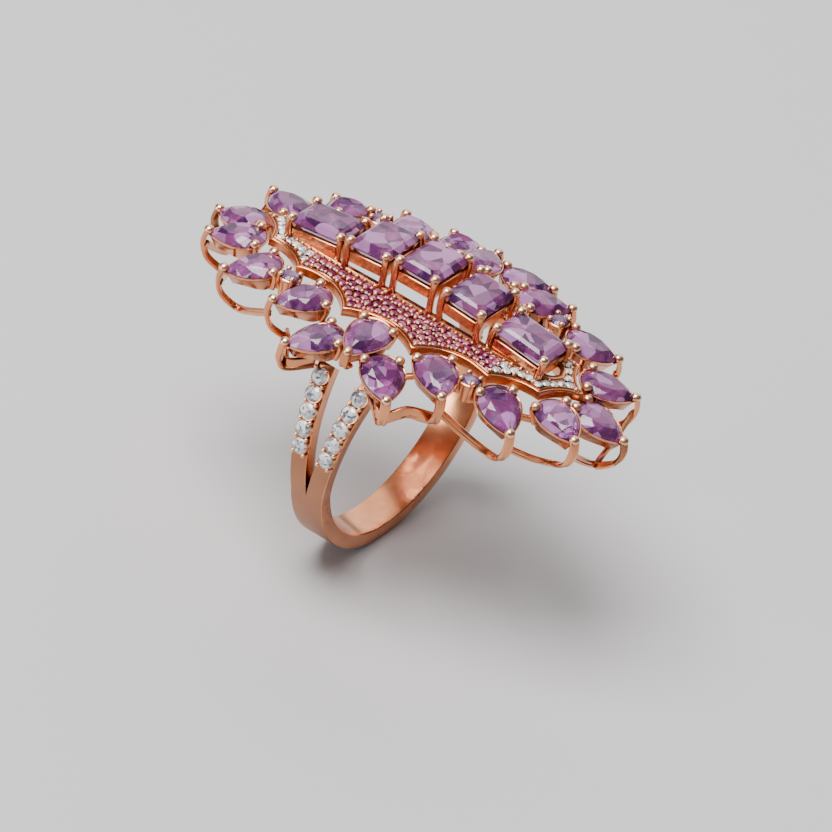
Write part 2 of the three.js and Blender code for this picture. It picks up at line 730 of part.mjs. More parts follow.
row.forEach((s, i) => {
  addPart(`centre_stone_${i + 1}`, solid(stepCut(s.across, s.along), s.matrix), amethyst);
});
halo.forEach((pear, i) => {
  addPart(`pear_stone_${String(i + 1).padStart(2, "0")}`, solid(pearStone(), pear.matrix), amethyst);
});
accents.forEach((matrix, i) => {
  addPart(`accent_stone_${i + 1}`, solid(singleCut(ACCENT.diameter), matrix), smallAmethyst);
});
diamonds.forEach((d) => addPart(d.name, solid(singleCut(SHANK_DIAMOND.diameter), d.matrix), diamond));

export default ring;
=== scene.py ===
"""Cocktail ring: the finished look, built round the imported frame.

Lengths inside the modelling functions are millimetres in the ring's own frame: the origin is the centre of
the finger hole, +Y is the finger's axis and +Z points to the head. They are turned into metres when a mesh
is written.
"""

import math
from collections import namedtuple

import bmesh
import bpy
import numpy as np
from bpy.props import FloatProperty, FloatVectorProperty, IntProperty, PointerProperty
from mathutils import Matrix, Vector


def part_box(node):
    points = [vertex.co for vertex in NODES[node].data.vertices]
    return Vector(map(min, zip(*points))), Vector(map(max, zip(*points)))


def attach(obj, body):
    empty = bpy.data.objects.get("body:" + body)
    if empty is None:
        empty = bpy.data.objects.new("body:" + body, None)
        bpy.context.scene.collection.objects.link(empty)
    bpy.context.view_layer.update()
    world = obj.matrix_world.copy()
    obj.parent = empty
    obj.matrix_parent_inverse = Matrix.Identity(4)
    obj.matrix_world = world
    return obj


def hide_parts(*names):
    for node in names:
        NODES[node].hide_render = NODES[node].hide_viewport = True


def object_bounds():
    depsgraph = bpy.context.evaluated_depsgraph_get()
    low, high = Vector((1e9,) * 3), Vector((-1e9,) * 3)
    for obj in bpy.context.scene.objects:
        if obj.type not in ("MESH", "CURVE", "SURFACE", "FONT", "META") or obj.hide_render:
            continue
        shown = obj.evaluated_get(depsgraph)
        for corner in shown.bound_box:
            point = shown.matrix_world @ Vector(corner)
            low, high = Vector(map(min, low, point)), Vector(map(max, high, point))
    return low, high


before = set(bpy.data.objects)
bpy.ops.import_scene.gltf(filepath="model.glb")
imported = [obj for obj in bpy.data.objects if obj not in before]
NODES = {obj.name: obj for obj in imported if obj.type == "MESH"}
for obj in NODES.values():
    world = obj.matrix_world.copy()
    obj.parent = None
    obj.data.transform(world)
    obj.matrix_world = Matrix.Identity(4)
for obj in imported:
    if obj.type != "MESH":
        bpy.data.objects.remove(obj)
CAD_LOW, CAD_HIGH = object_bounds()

bl_info = {
    "name": "Cocktail ring",
    "version": (1, 0, 0),
    "blender": (4, 5, 0),
    "location": "3D View > Sidebar > Ring",
    "description": "Builds a split-shank cocktail ring with its stones, settings and pavé",
    "category": "Object",
}

MM = 0.001
DOUBLES = 1e-6  # metres: points closer than this are one point


def node_box(node):
    """The corners of a frame node in millimetres."""
    low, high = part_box(node)
    return np.array(low) / MM, np.array(high) / MM


# ---- Sizes: read from the frame, or repeated here where a box can't tell them -----------------------------

BAND_THICKNESS = 1.03
BAND_WIDTH = 2.44
BAND_RADIUS = float(node_box("split_shank")[1][0])
BORE_RADIUS = BAND_RADIUS - BAND_THICKNESS

PLATE_LOW, PLATE_HIGH = node_box("border_frame")
PLATE_HALF_X = float(PLATE_HIGH[0])
PLATE_HALF_Y = float(PLATE_HIGH[1])
PLATE_TOP = float(PLATE_HIGH[2])
PLATE_THICKNESS = 0.6
PLATE_CROWN = (PLATE_TOP - float(PLATE_LOW[2]) - PLATE_THICKNESS) / PLATE_HALF_Y**2


def plate_top(y):
    """Height of the border plate's top at y."""
    return PLATE_TOP - PLATE_CROWN * y * y


# ---- The ring's settings ---------------------------------------------------------------------------------


class RingStones(bpy.types.PropertyGroup):
    """Sizes and colours of the stones"""

    amethyst: FloatVectorProperty(
        name="Amethyst", description="Body colour of the large stones", subtype="COLOR",
        size=3, min=0, max=1, default=(0.30, 0.075, 0.24))
    sapphire: FloatVectorProperty(
        name="Pink sapphire", description="Body colour of the pink pavé", subtype="COLOR",
        size=3, min=0, max=1, default=(0.26, 0.02, 0.09))
    crown: FloatProperty(
        name="Pear crown", description="Height of a pear stone above its girdle, mm",
        default=0.5, min=0.2, max=1)
    depth: FloatProperty(
        name="Pear depth", description="Depth of a pear stone below its girdle, mm",
        default=1.25, min=0.5, max=2)


class RingMetal(bpy.types.PropertyGroup):
    """Sizes and colours of the metal"""

    gold: FloatVectorProperty(
        name="Rose gold", description="Colour of the polished metal", subtype="COLOR",
        size=3, min=0, max=1, default=(0.82, 0.35, 0.17))
    # The satin colour is the rose gold painted darker: painted shade on the brushed shank, on top of its
    # rougher face.
    satin: FloatVectorProperty(
        name="Satin rose gold", description="Colour of the brushed shank", subtype="COLOR",
        size=3, min=0, max=1, default=(0.40, 0.18, 0.10))
    prong: FloatProperty(
        name="Prong radius", description="Radius of a prong's wire, mm", default=0.21, min=0.1, max=0.4)
    bead: FloatProperty(
        name="Bead radius", description="Radius of a prong's bead, mm", default=0.34, min=0.15, max=0.5)
    collet_wall: FloatProperty(
        name="Collet wall", description="Wall of a pear's collet, mm", default=0.17, min=0.08, max=0.4)
    collet_height: FloatProperty(
        name="Collet height", description="Height of a pear's collet, mm", default=1.1, min=0.5, max=2)


class RingPave(bpy.types.PropertyGroup):
    """The pavé on the border"""

    pink_count: IntProperty(
        name="Pink stones", description="Pink stones on each long side", default=92, min=20, max=200)
    white_count: IntProperty(
        name="White stones", description="White stones at each end", default=20, min=6, max=60)
    bead_radius: FloatProperty(
        name="Bead radius", description="Largest radius of a pavé bead, mm", default=0.15, min=0.05, max=0.2)


class RingStage(bpy.types.PropertyGroup):
    """Floor, light and camera"""

    floor: FloatVectorProperty(
        name="Floor", description="Colour of the floor", subtype="COLOR",
        size=3, min=0, max=1, default=(0.52, 0.52, 0.53))
    lens: FloatProperty(
        name="Lens", description="Focal length, mm", default=323.5, min=20, max=500)


# ---- Modelling by hand -----------------------------------------------------------------------------------


def select_only(*objects):
    """Selects these objects and makes the first one active."""
    bpy.ops.object.select_all(action="DESELECT")
    for obj in objects:
        obj.select_set(True)
    bpy.context.view_layer.objects.active = objects[0]


def tidy_mesh(obj, angle=None):
    """Merges doubles, turns every face outwards and smooths what bends by less than the angle."""
    select_only(obj)
    bpy.ops.object.mode_set(mode="EDIT")
    bpy.ops.mesh.select_all(action="SELECT")
    bpy.ops.mesh.remove_doubles(threshold=DOUBLES)
    bpy.ops.mesh.dissolve_degenerate(threshold=DOUBLES)
    bpy.ops.mesh.normals_make_consistent(inside=False)
    bpy.ops.object.mode_set(mode="OBJECT")
    if angle is not None:
        bpy.ops.object.shade_smooth_by_angle(angle=math.radians(angle))
    return obj


def draw_rings(name, rings, ends="capped", angle=40):
    """Extrudes a circle's edge from ring to ring. ends is capped, open or joined."""
    bpy.ops.object.select_all(action="DESELECT")
    count = len(rings[0])
    bpy.ops.mesh.primitive_circle_add(vertices=count, radius=MM, fill_type="NOTHING", location=(0, 0, 0))
    obj = bpy.context.active_object
    obj.name = obj.data.name = name
    bpy.ops.object.mode_set(mode="EDIT")
    bm = bmesh.from_edit_mesh(obj.data)
    order = bm.verts.layers.int.new("order")
    for index, vertex in enumerate(bm.verts):
        vertex[order] = index
        vertex.co = Vector(rings[0][index]) * MM
    following = list(rings[1:]) + ([rings[0]] if ends == "joined" else [])
    bpy.ops.mesh.select_all(action="SELECT")
    for ring in following:
        bpy.ops.mesh.extrude_region_move()
        bm = bmesh.from_edit_mesh(obj.data)
        order = bm.verts.layers.int["order"]
        for vertex in bm.verts:
            if vertex.select:
                vertex.co = Vector(ring[vertex[order]]) * MM
    if ends == "capped":
        bpy.ops.mesh.select_all(action="SELECT")
        bpy.ops.mesh.fill_holes(sides=0)
    bmesh.update_edit_mesh(obj.data)
    bpy.ops.object.mode_set(mode="OBJECT")
    layer = obj.data.attributes.get("order")
    if layer:
        obj.data.attributes.remove(layer)
    obj.data.materials.append(FINISHES["gold"])
    return tidy_mesh(obj, angle)


def draw_hull(name, points):
    """A faceted stone: the flat faces that wrap round its points."""
    bpy.ops.object.select_all(action="DESELECT")
    bpy.ops.mesh.primitive_plane_add(size=MM, location=(0, 0, 0))
    obj = bpy.context.active_object
    obj.name = obj.data.name = name
    bpy.ops.object.mode_set(mode="EDIT")
    bm = bmesh.from_edit_mesh(obj.data)
    bm.clear()
    for point in points:
        bm.verts.new(Vector(point) * MM)
    bmesh.update_edit_mesh(obj.data)
    bpy.ops.mesh.select_all(action="SELECT")
    bpy.ops.mesh.convex_hull()
    bpy.ops.object.mode_set(mode="OBJECT")
    return tidy_mesh(obj)


def placed_copy(master, name, matrix):
    """A copy of a master piece with its own mesh, put in its place."""
    copy = bpy.data.objects.new(name, master.data.copy())
    bpy.context.scene.collection.objects.link(copy)
    copy.data.name = name
    copy.data.transform(matrix)
    if matrix.determinant() < 0:
        copy.data.flip_normals()
    return copy


def join_pieces(name, pieces):
    """Joins objects into one, which takes the name."""
    select_only(*pieces)
    if len(pieces) > 1:
        bpy.ops.object.join()
    joined = bpy.context.view_layer.objects.active
    joined.name = joined.data.name = name
    return joined


def remove(*objects):
    """Deletes the masters that copies were made from."""
    for obj in objects:
        bpy.data.objects.remove(obj)


def finish_piece(obj, finish, slot, *nodes):
    """Gives a piece its finish, hangs it under the root and hides the frame nodes it takes the place of."""
    if len(obj.data.materials) < 2:  # a piece with beads on it has both of its finishes already
        obj.data.materials.clear()
        obj.data.materials.append(finish)
    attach(obj, "root")
    if nodes:
        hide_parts(*nodes)
    return obj


# ---- Curves and outlines ---------------------------------------------------------------------------------


def smooth_path(points, steps=6, closed=False):
    """Points on a smooth line through the given ones."""
    pts = [np.array(p, float) for p in points]
    if closed:
        pts = [pts[-1], *pts, pts[0], pts[1]]
    else:
        pts = [2 * pts[0] - pts[1], *pts, 2 * pts[-1] - pts[-2]]
    line = []
    for a, b, c, d in zip(pts, pts[1:], pts[2:], pts[3:]):
        for i in range(steps):
            t = i / steps
            line.append(0.5 * (2 * b + (c - a) * t + (2 * a - 5 * b + 4 * c - d) * t * t
                               + (3 * b - a - 3 * c + d) * t**3))
    if not closed:
        line.append(pts[-2])
    return np.array(line)


def circle(count, radius=1.0, start=0.0):
    """Points round a circle, anticlockwise from a start in radians."""
    turns = (np.arange(count) / count) * 2 * math.pi + start
    return np.stack([radius * np.cos(turns), radius * np.sin(turns)], 1)


def rounded_box(width, height, radius, steps=2):
    """A rectangle's outline with rounded corners."""
    points = []
    for sx, sy, start in ((1, 1, 0), (-1, 1, 90), (-1, -1, 180), (1, -1, 270)):
        for i in range(steps + 1):
            turn = math.radians(start + 90 * i / steps)
            points.append((sx * (width / 2 - radius) + radius * math.cos(turn),
                           sy * (height / 2 - radius) + radius * math.sin(turn)))
    return np.array(points)


def sweep(path, section, side=None, up=None, closed=False):
    """Rings of a section along a path. Either side or up gives the section's direction."""
    path = np.array(path, float)
    tangents = np.roll(path, -1, 0) - np.roll(path, 1, 0)
    if not closed:
        tangents[0] = path[1] - path[0]
        tangents[-1] = path[-1] - path[-2]
    rings = []
    for here, tangent in zip(path, tangents):
        tangent = tangent / np.linalg.norm(tangent)
        if side is not None:
            first = np.array(side, float) - np.dot(side, tangent) * tangent
            first /= np.linalg.norm(first)
            second = np.cross(tangent, first)
        else:
            first = np.cross(tangent, up)
            first /= np.linalg.norm(first)
            second = np.array(up, float)
        rings.append(here + (section[:, :1] * first + section[:, 1:] * second))
    return rings


def offset_loop(loop, distance):
    """A closed anticlockwise loop moved sideways, inwards where distance is positive."""
    before = loop - np.roll(loop, 1, 0)
    after = np.roll(loop, -1, 0) - loop
    before /= np.linalg.norm(before, axis=1)[:, None]
    after /= np.linalg.norm(after, axis=1)[:, None]
    normal = np.stack([-(before + after)[:, 1], (before + after)[:, 0]], 1)
    normal /= np.linalg.norm(normal, axis=1)[:, None]
    lean = np.maximum(after[:, 0] * normal[:, 1] - after[:, 1] * normal[:, 0], 0.4)
    return loop + normal * (distance / lean)[:, None]


def inside(loop, points):
    """Which points lie inside a closed loop."""
    result = np.zeros(len(points), bool)
    for (x0, y0), (x1, y1) in zip(loop, np.roll(loop, -1, 0)):
        crosses = (y0 > points[:, 1]) != (y1 > points[:, 1])
        slope = (x1 - x0) / (y1 - y0) if y1 != y0 else 0
        result ^= crosses & (points[:, 0] < x0 + (points[:, 1] - y0) * slope)
    return result


# ---- Where the stones are --------------------------------------------------------------------------------

Seat = namedtuple("Seat", "matrix length width")


def read_seat(node, across=None):
    """A stone's own frame, read from its node: +Z through the table and the origin in the girdle.

    +X is across where it is given, and otherwise points to the tip of a pear.
    """
    mesh = NODES[node].data
    facing = {}
    for face in mesh.polygons:
        key = tuple(round(c, 2) for c in face.normal)
        facing[key] = facing.get(key, 0) + face.area
    widest = Vector(max(facing, key=facing.get)).normalized()
    table = (f.normal * f.area for f in mesh.polygons if f.normal.dot(widest) > 0.999)
    up = np.array(sum(table, Vector()).normalized())
    points = np.array([v.co[:] for v in mesh.vertices]) / MM
    heights = points @ up
    levels = [points[abs(heights - h) < 0.006] for h in np.unique(heights.round(2))]
    spread = lambda level: np.linalg.norm(level - level.mean(0), axis=1).max()
    girdle = np.concatenate(sorted(levels, key=spread)[-2:])
    lowest = np.unique(levels[0].round(4), axis=0).mean(0)
    origin = lowest + up * ((girdle @ up).mean() - lowest @ up)
    if across is None:
        guess = girdle[0] - origin
        guess -= guess @ up * up
        guess /= np.linalg.norm(guess)
        other = np.cross(up, guess)
        flat = np.unique(np.stack([(girdle - origin) @ guess, (girdle - origin) @ other], 1).round(3), axis=0)
        flat = flat[np.argsort(np.arctan2(flat[:, 1], flat[:, 0]))]
        after = np.roll(flat, -1, 0)
        cross = flat[:, 0] * after[:, 1] - after[:, 0] * flat[:, 1]
        middle = ((flat + after) * cross[:, None]).sum(0) / (3 * cross.sum())
        across = -(middle[0] * guess + middle[1] * other)
    across = np.array(across, float) - np.dot(across, up) * up
    across /= np.linalg.norm(across)
    along = np.cross(up, across)
    length = np.ptp(girdle @ across)
    width = np.ptp(girdle @ along)
    matrix = Matrix([[*row, o] for row, o in zip(np.stack([across, along, up], 1), origin)] + [[0, 0, 0, 1]])
    return Seat(matrix, length, width)


def in_metres(matrix):
    """The same place for a mesh that is modelled in metres."""
    placed = matrix.copy()
    placed.translation *= MM
    return placed


def to_ring(matrix, points):
    """Points in a stone's frame as points in the ring's frame."""
    return np.array([matrix @ Vector(p) for p in points])


PEARS = [read_seat(f"pear_stone_{i:02d}") for i in range(1, 21)]
ROW = [read_seat(f"centre_stone_{i}", (1, 0, 0)) for i in range(1, 6)]
ACCENTS = [read_seat(f"accent_stone_{i}", (1, 0, 0)) for i in range(1, 5)]
ARMS = [f"{side}_{hand}" for side in ("near", "far") for hand in ("left", "right")]
ARM_SEATS = {
    arm: [read_seat(f"shank_diamond_{arm}_{i}", (0, 1, 0)) for i in range(1, 6)] for arm in ARMS
}
PEAR_LENGTH = PEARS[0].length
PEAR_WIDTH = PEARS[0].width
PEAR_TAPER = 0.6  # how strongly a pear narrows to its tip
PEAR_WIDEST = 0.843  # the tapered curve's own half width, which the outline is divided by


def pear_loop(grow=0.0, count=32):
    """A pear's outline, anticlockwise from its tip at +X."""
    turns = (np.arange(count) / count) * 2 * math.pi
    x = (PEAR_LENGTH / 2 + grow) * np.cos(turns)
    y = (PEAR_WIDTH / 2 + grow) * np.sin(turns) * np.abs(np.sin(turns / 2)) ** PEAR_TAPER / PEAR_WIDEST
    return np.stack([x, y], 1)


# ---- Materials -------------------------------------------------------------------------------------------


def new_group(name, inputs, outputs):
    """A shader group with its sockets, and its two end nodes."""
    group = bpy.data.node_groups.new(name, "ShaderNodeTree")
    for label, kind in inputs:
        group.interface.new_socket(label, in_out="INPUT", socket_type=kind)
    for label, kind in outputs:
        group.interface.new_socket(label, in_out="OUTPUT", socket_type=kind)
    return group, group.nodes.new("NodeGroupInput"), group.nodes.new("NodeGroupOutput")


def mix_colours(tree, factor, first, second):
    """Mixes two colour sockets by a third."""
    node = tree.nodes.new("ShaderNodeMix")
    node.data_type = "RGBA"
    for index, socket in ((0, factor), (6, first), (7, second)):
        tree.links.new(socket, node.inputs[index])
    return node.outputs[2]


def product(tree, first, second):
    """Multiplies two sockets."""
    node = tree.nodes.new("ShaderNodeMath")
    node.operation = "MULTIPLY"
    tree.links.new(first, node.inputs[0])
    tree.links.new(second, node.inputs[1])
    return node.outputs[0]


def ramp(tree, value, low, high, to_low=0.0, to_high=1.0):
    """Stretches a value's range to another one."""
    node = tree.nodes.new("ShaderNodeMapRange")
    tree.links.new(value, node.inputs["Value"])
    for label, number in (("From Min", low), ("From Max", high), ("To Min", to_low), ("To Max", to_high)):
        node.inputs[label].default_value = number
    return node.outputs["Result"]


BUMP_DEPTH = 0.01 * MM
PATCHES = 420.0  # patches of a metal to the metre
STONE_BUMP = 0.05
STONE_ROUGHNESS = 0.02


def shade_and_wear_group():
    """Painted shade darkens the recesses, the face varies a little at random and fine scratches run over it."""
    group, given, made = new_group(
        "Metal shade and wear",
        [("Metal", "NodeSocketColor"), ("Recess", "NodeSocketColor"), ("Patches", "NodeSocketFloat"),
         ("Grain", "NodeSocketFloat"), ("Smooth", "NodeSocketFloat"), ("Rough", "NodeSocketFloat")],
        [("Color", "NodeSocketColor"), ("Roughness", "NodeSocketFloat"), ("Height", "NodeSocketFloat")],
    )
    link = group.links.new
    place = group.nodes.new("ShaderNodeTexCoord").outputs["Object"]
    patches = group.nodes.new("ShaderNodeTexNoise")
    patches.inputs["Detail"].default_value = 3
    link(place, patches.inputs["Vector"])
    link(given.outputs["Patches"], patches.inputs["Scale"])
    grain = group.nodes.new("ShaderNodeTexNoise")
    grain.inputs["Detail"].default_value = 2
    link(place, grain.inputs["Vector"])
    link(given.outputs["Grain"], grain.inputs["Scale"])
    # Painted shade: where ambient occlusion finds a recess, the colour turns to the recess colour.
    painted_shade_ao = group.nodes.new("ShaderNodeAmbientOcclusion")
    painted_shade_ao.inputs["Distance"].default_value = 0.9 * MM
    painted_shade_ao.samples = 6
    out_of_shade = ramp(group, painted_shade_ao.outputs["AO"], 0.15, 0.7)
    # Random patches lean a little towards the same dark colour: tone that differs at random.
    varied = mix_colours(group, ramp(group, patches.outputs["Fac"], 0.35, 0.7, 0.0, 0.35),
                         given.outputs["Metal"], given.outputs["Recess"])
    link(mix_colours(group, out_of_shade, given.outputs["Recess"], varied), made.inputs["Color"])
    spread = group.nodes.new("ShaderNodeMix")
    link(ramp(group, patches.outputs["Fac"], 0.3, 0.7), spread.inputs[0])
    link(given.outputs["Smooth"], spread.inputs[2])
    link(given.outputs["Rough"], spread.inputs[3])
    link(spread.outputs[0], made.inputs["Roughness"])
    link(grain.outputs["Fac"], made.inputs["Height"])
    return group


def stone_facet_light_group():
    """Painted light of a cut stone: painted shade and painted flashes in facet-like cells, with faint clouds.
    """
    group, given, made = new_group(
        "Stone facet light",
        [("Body", "NodeSocketColor"), ("Deep", "NodeSocketColor"), ("Flash", "NodeSocketColor"),
         ("Cells", "NodeSocketFloat"), ("Flashes", "NodeSocketFloat")],
        [("Color", "NodeSocketColor"), ("Cloud", "NodeSocketFloat")],
    )
    link = group.links.new
    place = group.nodes.new("ShaderNodeTexCoord").outputs["Object"]
    cells = group.nodes.new("ShaderNodeTexVoronoi")
    link(place, cells.inputs["Vector"])
    link(given.outputs["Cells"], cells.inputs["Scale"])
    tone = group.nodes.new("ShaderNodeSeparateColor")
    link(cells.outputs["Color"], tone.inputs[0])
    cloud = group.nodes.new("ShaderNodeTexNoise")
    cloud.inputs["Detail"].default_value = 4
    link(place, cloud.inputs["Vector"])
    link(given.outputs["Cells"], cloud.inputs["Scale"])
    # Painted shade: cells lean to the dark colour, standing in for facets that catch no light.
    body = mix_colours(group, ramp(group, tone.outputs["Red"], 0.2, 0.9), given.outputs["Deep"],
                       given.outputs["Body"])
    # Painted highlight: the brightest cells take the flash colour, standing in for glints off facets.
    lit = product(group, ramp(group, tone.outputs["Green"], 0.62, 0.8), given.outputs["Flashes"])
    flashed = mix_colours(group, lit, body, given.outputs["Flash"])
    milky = ramp(group, cloud.outputs["Fac"], 0.5, 0.75, 0.0, 0.35)
    link(mix_colours(group, milky, flashed, given.outputs["Flash"]), made.inputs["Color"])
    link(cloud.outputs["Fac"], made.inputs["Cloud"])
    return group


def new_finish(name):
    """A new material, its tree and its shader."""
    finish = bpy.data.materials.new(name)
    finish.use_nodes = True
    tree = finish.node_tree
    return finish, tree, tree.nodes["Principled BSDF"]


def group_node(tree, group, **values):
    """Uses a shader group in a material, with these values in its sockets."""
    node = tree.nodes.new("ShaderNodeGroup")
    node.node_tree = group
    for label, value in values.items():
        node.inputs[label.replace("_", " ")].default_value = value
    return node


def add_bump(tree, shader, height, strength):
    """Lets a height socket roughen the face very slightly."""
    bump = tree.nodes.new("ShaderNodeBump")
    bump.inputs["Strength"].default_value = strength
    bump.inputs["Distance"].default_value = BUMP_DEPTH
    tree.links.new(height, bump.inputs["Height"])
    tree.links.new(bump.outputs["Normal"], shader.inputs["Normal"])


def metal_finish(name, group, colour, recess, smooth, rough, grain, bump):
    """A metal with painted shade in its recesses, smooth in some patches and rough in others."""
    finish, tree, shader = new_finish(name)
    shade_and_wear = group_node(tree, group, Metal=(*colour, 1), Recess=(*recess, 1), Patches=PATCHES, Grain=grain,
                      Smooth=smooth, Rough=rough)
    shader.inputs["Metallic"].default_value = 1
    tree.links.new(shade_and_wear.outputs["Color"], shader.inputs["Base Color"])
    tree.links.new(shade_and_wear.outputs["Roughness"], shader.inputs["Roughness"])
    add_bump(tree, shader, shade_and_wear.outputs["Height"], bump)
    return finish


def stone_finish(name, group, body, painted_shade, flash, cells, flashes, ior, clear):
    """A cut stone whose body is broken up by painted shade and painted flashes in facet-like cells."""
    finish, tree, shader = new_finish(name)
    # The stone group's node paints facet light: painted shade and painted highlight.
    depth = group_node(tree, group, Body=(*body, 1), Deep=(*painted_shade, 1), Flash=(*flash, 1), Cells=cells,
                       Flashes=flashes)
    shader.inputs["Roughness"].default_value = STONE_ROUGHNESS
    shader.inputs["IOR"].default_value = ior
    shader.inputs["Transmission Weight"].default_value = clear
    tree.links.new(depth.outputs["Color"], shader.inputs["Base Color"])
    add_bump(tree, shader, depth.outputs["Cloud"], STONE_BUMP)
    return finish


FINISHES = {}


def make_finishes(metal, stones):
    """Makes every finish of the ring."""
    shade_and_wear = shade_and_wear_group()
    # The stone group paints facet light: painted shade and painted highlight.
    depth = stone_facet_light_group()
    # Each metal's recess colour is painted shade, laid in recesses by ambient occlusion; random patches lean a
    # little towards it too.
    FINISHES["gold"] = metal_finish(
        "polished rose gold", shade_and_wear, metal.gold, recess=(0.30, 0.07, 0.02),
        smooth=0.14, rough=0.30, grain=9000.0, bump=0.12)
    # The bead finish is the rose gold painted paler: painted highlight on every bead, with a lighter recess
    # colour to match.
    FINISHES["bead"] = metal_finish(
        "pale rose gold, painted highlight", shade_and_wear, (0.97, 0.60, 0.38), recess=(0.62, 0.20, 0.08),
        smooth=0.24, rough=0.36, grain=9000.0, bump=0.12)
    # The satin finish keeps its darker colour as painted shade; its roughness and scratches are the brushed
    # face.
    FINISHES["satin"] = metal_finish(
        "satin rose gold, painted shade", shade_and_wear, metal.satin, recess=(0.28, 0.12, 0.07),
        smooth=0.36, rough=0.46, grain=14000.0, bump=0.30)
    # Each stone's dark colour is painted shade and its flash colour painted highlight, in facet-like cells; the
    # body colour is the stone's own.
    FINISHES["amethyst"] = stone_finish(
        "amethyst", depth, stones.amethyst, painted_shade=(0.075, 0.015, 0.09), flash=(0.72, 0.36, 0.74),
        cells=1100.0, flashes=0.7, ior=1.52, clear=0.5)
    FINISHES["dark amethyst"] = stone_finish(
        "dark amethyst", depth, (0.30, 0.16, 0.34), painted_shade=(0.14, 0.06, 0.18), flash=(0.62, 0.46, 0.64),
        cells=1400.0, flashes=0.6, ior=1.50, clear=0.5)
    FINISHES["sapphire"] = stone_finish(
        "pink sapphire", depth, stones.sapphire, painted_shade=(0.10, 0.008, 0.04), flash=(0.85, 0.36, 0.46),
        cells=2600.0, flashes=0.3, ior=1.6, clear=0.1)
    FINISHES["diamond"] = stone_finish(
        "diamond", depth, (0.86, 0.90, 0.95), painted_shade=(0.10, 0.12, 0.15), flash=(1.0, 1.0, 1.0),
        cells=5200.0, flashes=1.0, ior=2.0, clear=0.2)


# ---- Stones ----------------------------------------------------------------------------------------------


def ring_at(loop, scale, z):
    """An outline, scaled and lifted to z."""
    return [(x * scale, y * scale, z) for x, y in loop]


def brilliant_points(loop, crown, depth, girdle=0.03):
    """Points of a brilliant cut on any outline: table, kites, girdle, pavilion mains and culet."""
    eighth = len(loop) // 8
    mains = loop[::eighth]
    between = loop[eighth // 2::eighth]
    return [
        *ring_at(between, 0.57, crown),
        *ring_at(mains, 0.8, girdle + (crown - girdle) * 0.64),
        *ring_at(loop, 1, girdle),
        *ring_at(loop, 1, -girdle),
        *ring_at(between, 0.55, -girdle - (depth - girdle) * 0.5),
        (0, 0, -depth),
    ]


def step_points(length, width):
    """Points of a step-cut stone with cut corners and a keel."""
    def step(inset, z, corner=0.32):
        x, y = length / 2 - inset, width / 2 - inset
        cut = min(corner, y * 0.6)
        ends = ((x, y - cut), (x - cut, y))
        return [(sx * a, sy * b, z) for sx in (1, -1) for sy in (1, -1) for a, b in ends]
    short = min(length, width) / 2
    along_x = length > width
    sides = ((length / 2 - 0.55, 0), (0, width / 2 - 0.55))
    middles = [(x * s, y * s, -0.62) for x, y in sides for s in (1, -1)]
    keel = (length - width) / 2
    keel_points = [(keel * s, 0, -1.2) if along_x else (0, -keel * s, -1.2) for s in (1, -1)]
    return [
        *step(short * 0.34, 0.47),
        *step(short * 0.18, 0.34),
        *step(0, 0.04),
        *step(0, -0.04),
        *step(short * 0.22, -0.4),
        *middles,
        *step(short * 0.56, -0.86, 0.2),
        *keel_points,
    ]


ACCENT_MARGIN = 0.04  # the round accents and their cups are drawn this much past the node's radius


class RING_OT_pears(bpy.types.Operator):
    """Cuts one pear amethyst and sets twenty of it"""

    bl_idname = "ring.pears"
    bl_label = "Pear stones"

    def execute(self, context):
        stones = context.scene.ring_stones
        master = draw_hull("pear_master", brilliant_points(pear_loop(), stones.crown, stones.depth))
        for i, seat in enumerate(PEARS, 1):
            stone = placed_copy(master, f"pear_amethyst_{i:02d}", in_metres(seat.matrix))
            finish_piece(stone, FINISHES["amethyst"], "amethyst", f"pear_stone_{i:02d}")
        remove(master)
        return {"FINISHED"}


class RING_OT_row_stones(bpy.types.Operator):
    """Cuts the five step-cut amethysts of the centre row"""

    bl_idname = "ring.row_stones"
    bl_label = "Centre row stones"

    def execute(self, context):
        for i, seat in enumerate(ROW, 1):
            master = draw_hull("row_master", step_points(seat.length, seat.width))
            stone = placed_copy(master, f"centre_amethyst_{i}", in_metres(seat.matrix))
            finish_piece(stone, FINISHES["amethyst"], "amethyst", f"centre_stone_{i}")
            remove(master)
        return {"FINISHED"}


class RING_OT_small_stones(bpy.types.Operator):
    """Cuts the round accents and the diamonds on the shank"""

    bl_idname = "ring.small_stones"
    bl_label = "Accents and shank diamonds"

    def execute(self, context):
        round_edge = circle(16, ACCENTS[0].length / 2 + ACCENT_MARGIN)
        accent = draw_hull("accent_master", brilliant_points(round_edge, 0.2, 0.55))
        for i, seat in enumerate(ACCENTS, 1):
            stone = placed_copy(accent, f"accent_amethyst_{i}", in_metres(seat.matrix))
            finish_piece(stone, FINISHES["dark amethyst"], "small_amethyst", f"accent_stone_{i}")
        diamond = draw_hull("diamond_master", brilliant_points(circle(16, DIAMOND_RADIUS), 0.19, 0.45, 0.02))
        for arm in ARMS:
            for i, seat in enumerate(ARM_SEATS[arm], 1):
                stone = placed_copy(diamond, f"diamond_{arm}_{i}", in_metres(seat.matrix))
                finish_piece(stone, FINISHES["diamond"], "diamond", f"shank_diamond_{arm}_{i}")
        remove(accent, diamond)
        return {"FINISHED"}


# ---- Shank -----------------------------------------------------------------------------------------------

SPLIT_ANGLE = -16.0  # degrees above the horizontal at which the shoulder divides
TOP_ANGLE = 38.0
BRANCH_SPREAD = 1.08  # sideways millimetres for each radian of climb
STEP_ANGLE = 2.6  # the diamonds' channel starts here
CHANNEL_DEPTH = 0.13
DIAMOND_RADIUS = 0.54
EDGE_ROUND = 0.1
BORE_ROUND = 0.14
GAP_ROUND = 0.08
SEAT_BEAD = (0.4, 0, 0.03)  # a seat's bead: to the side of the diamonds' line, and above their girdles
SHANK_FOOT = float(node_box("split_shank")[0][2])  # the foot is filed flat at this height


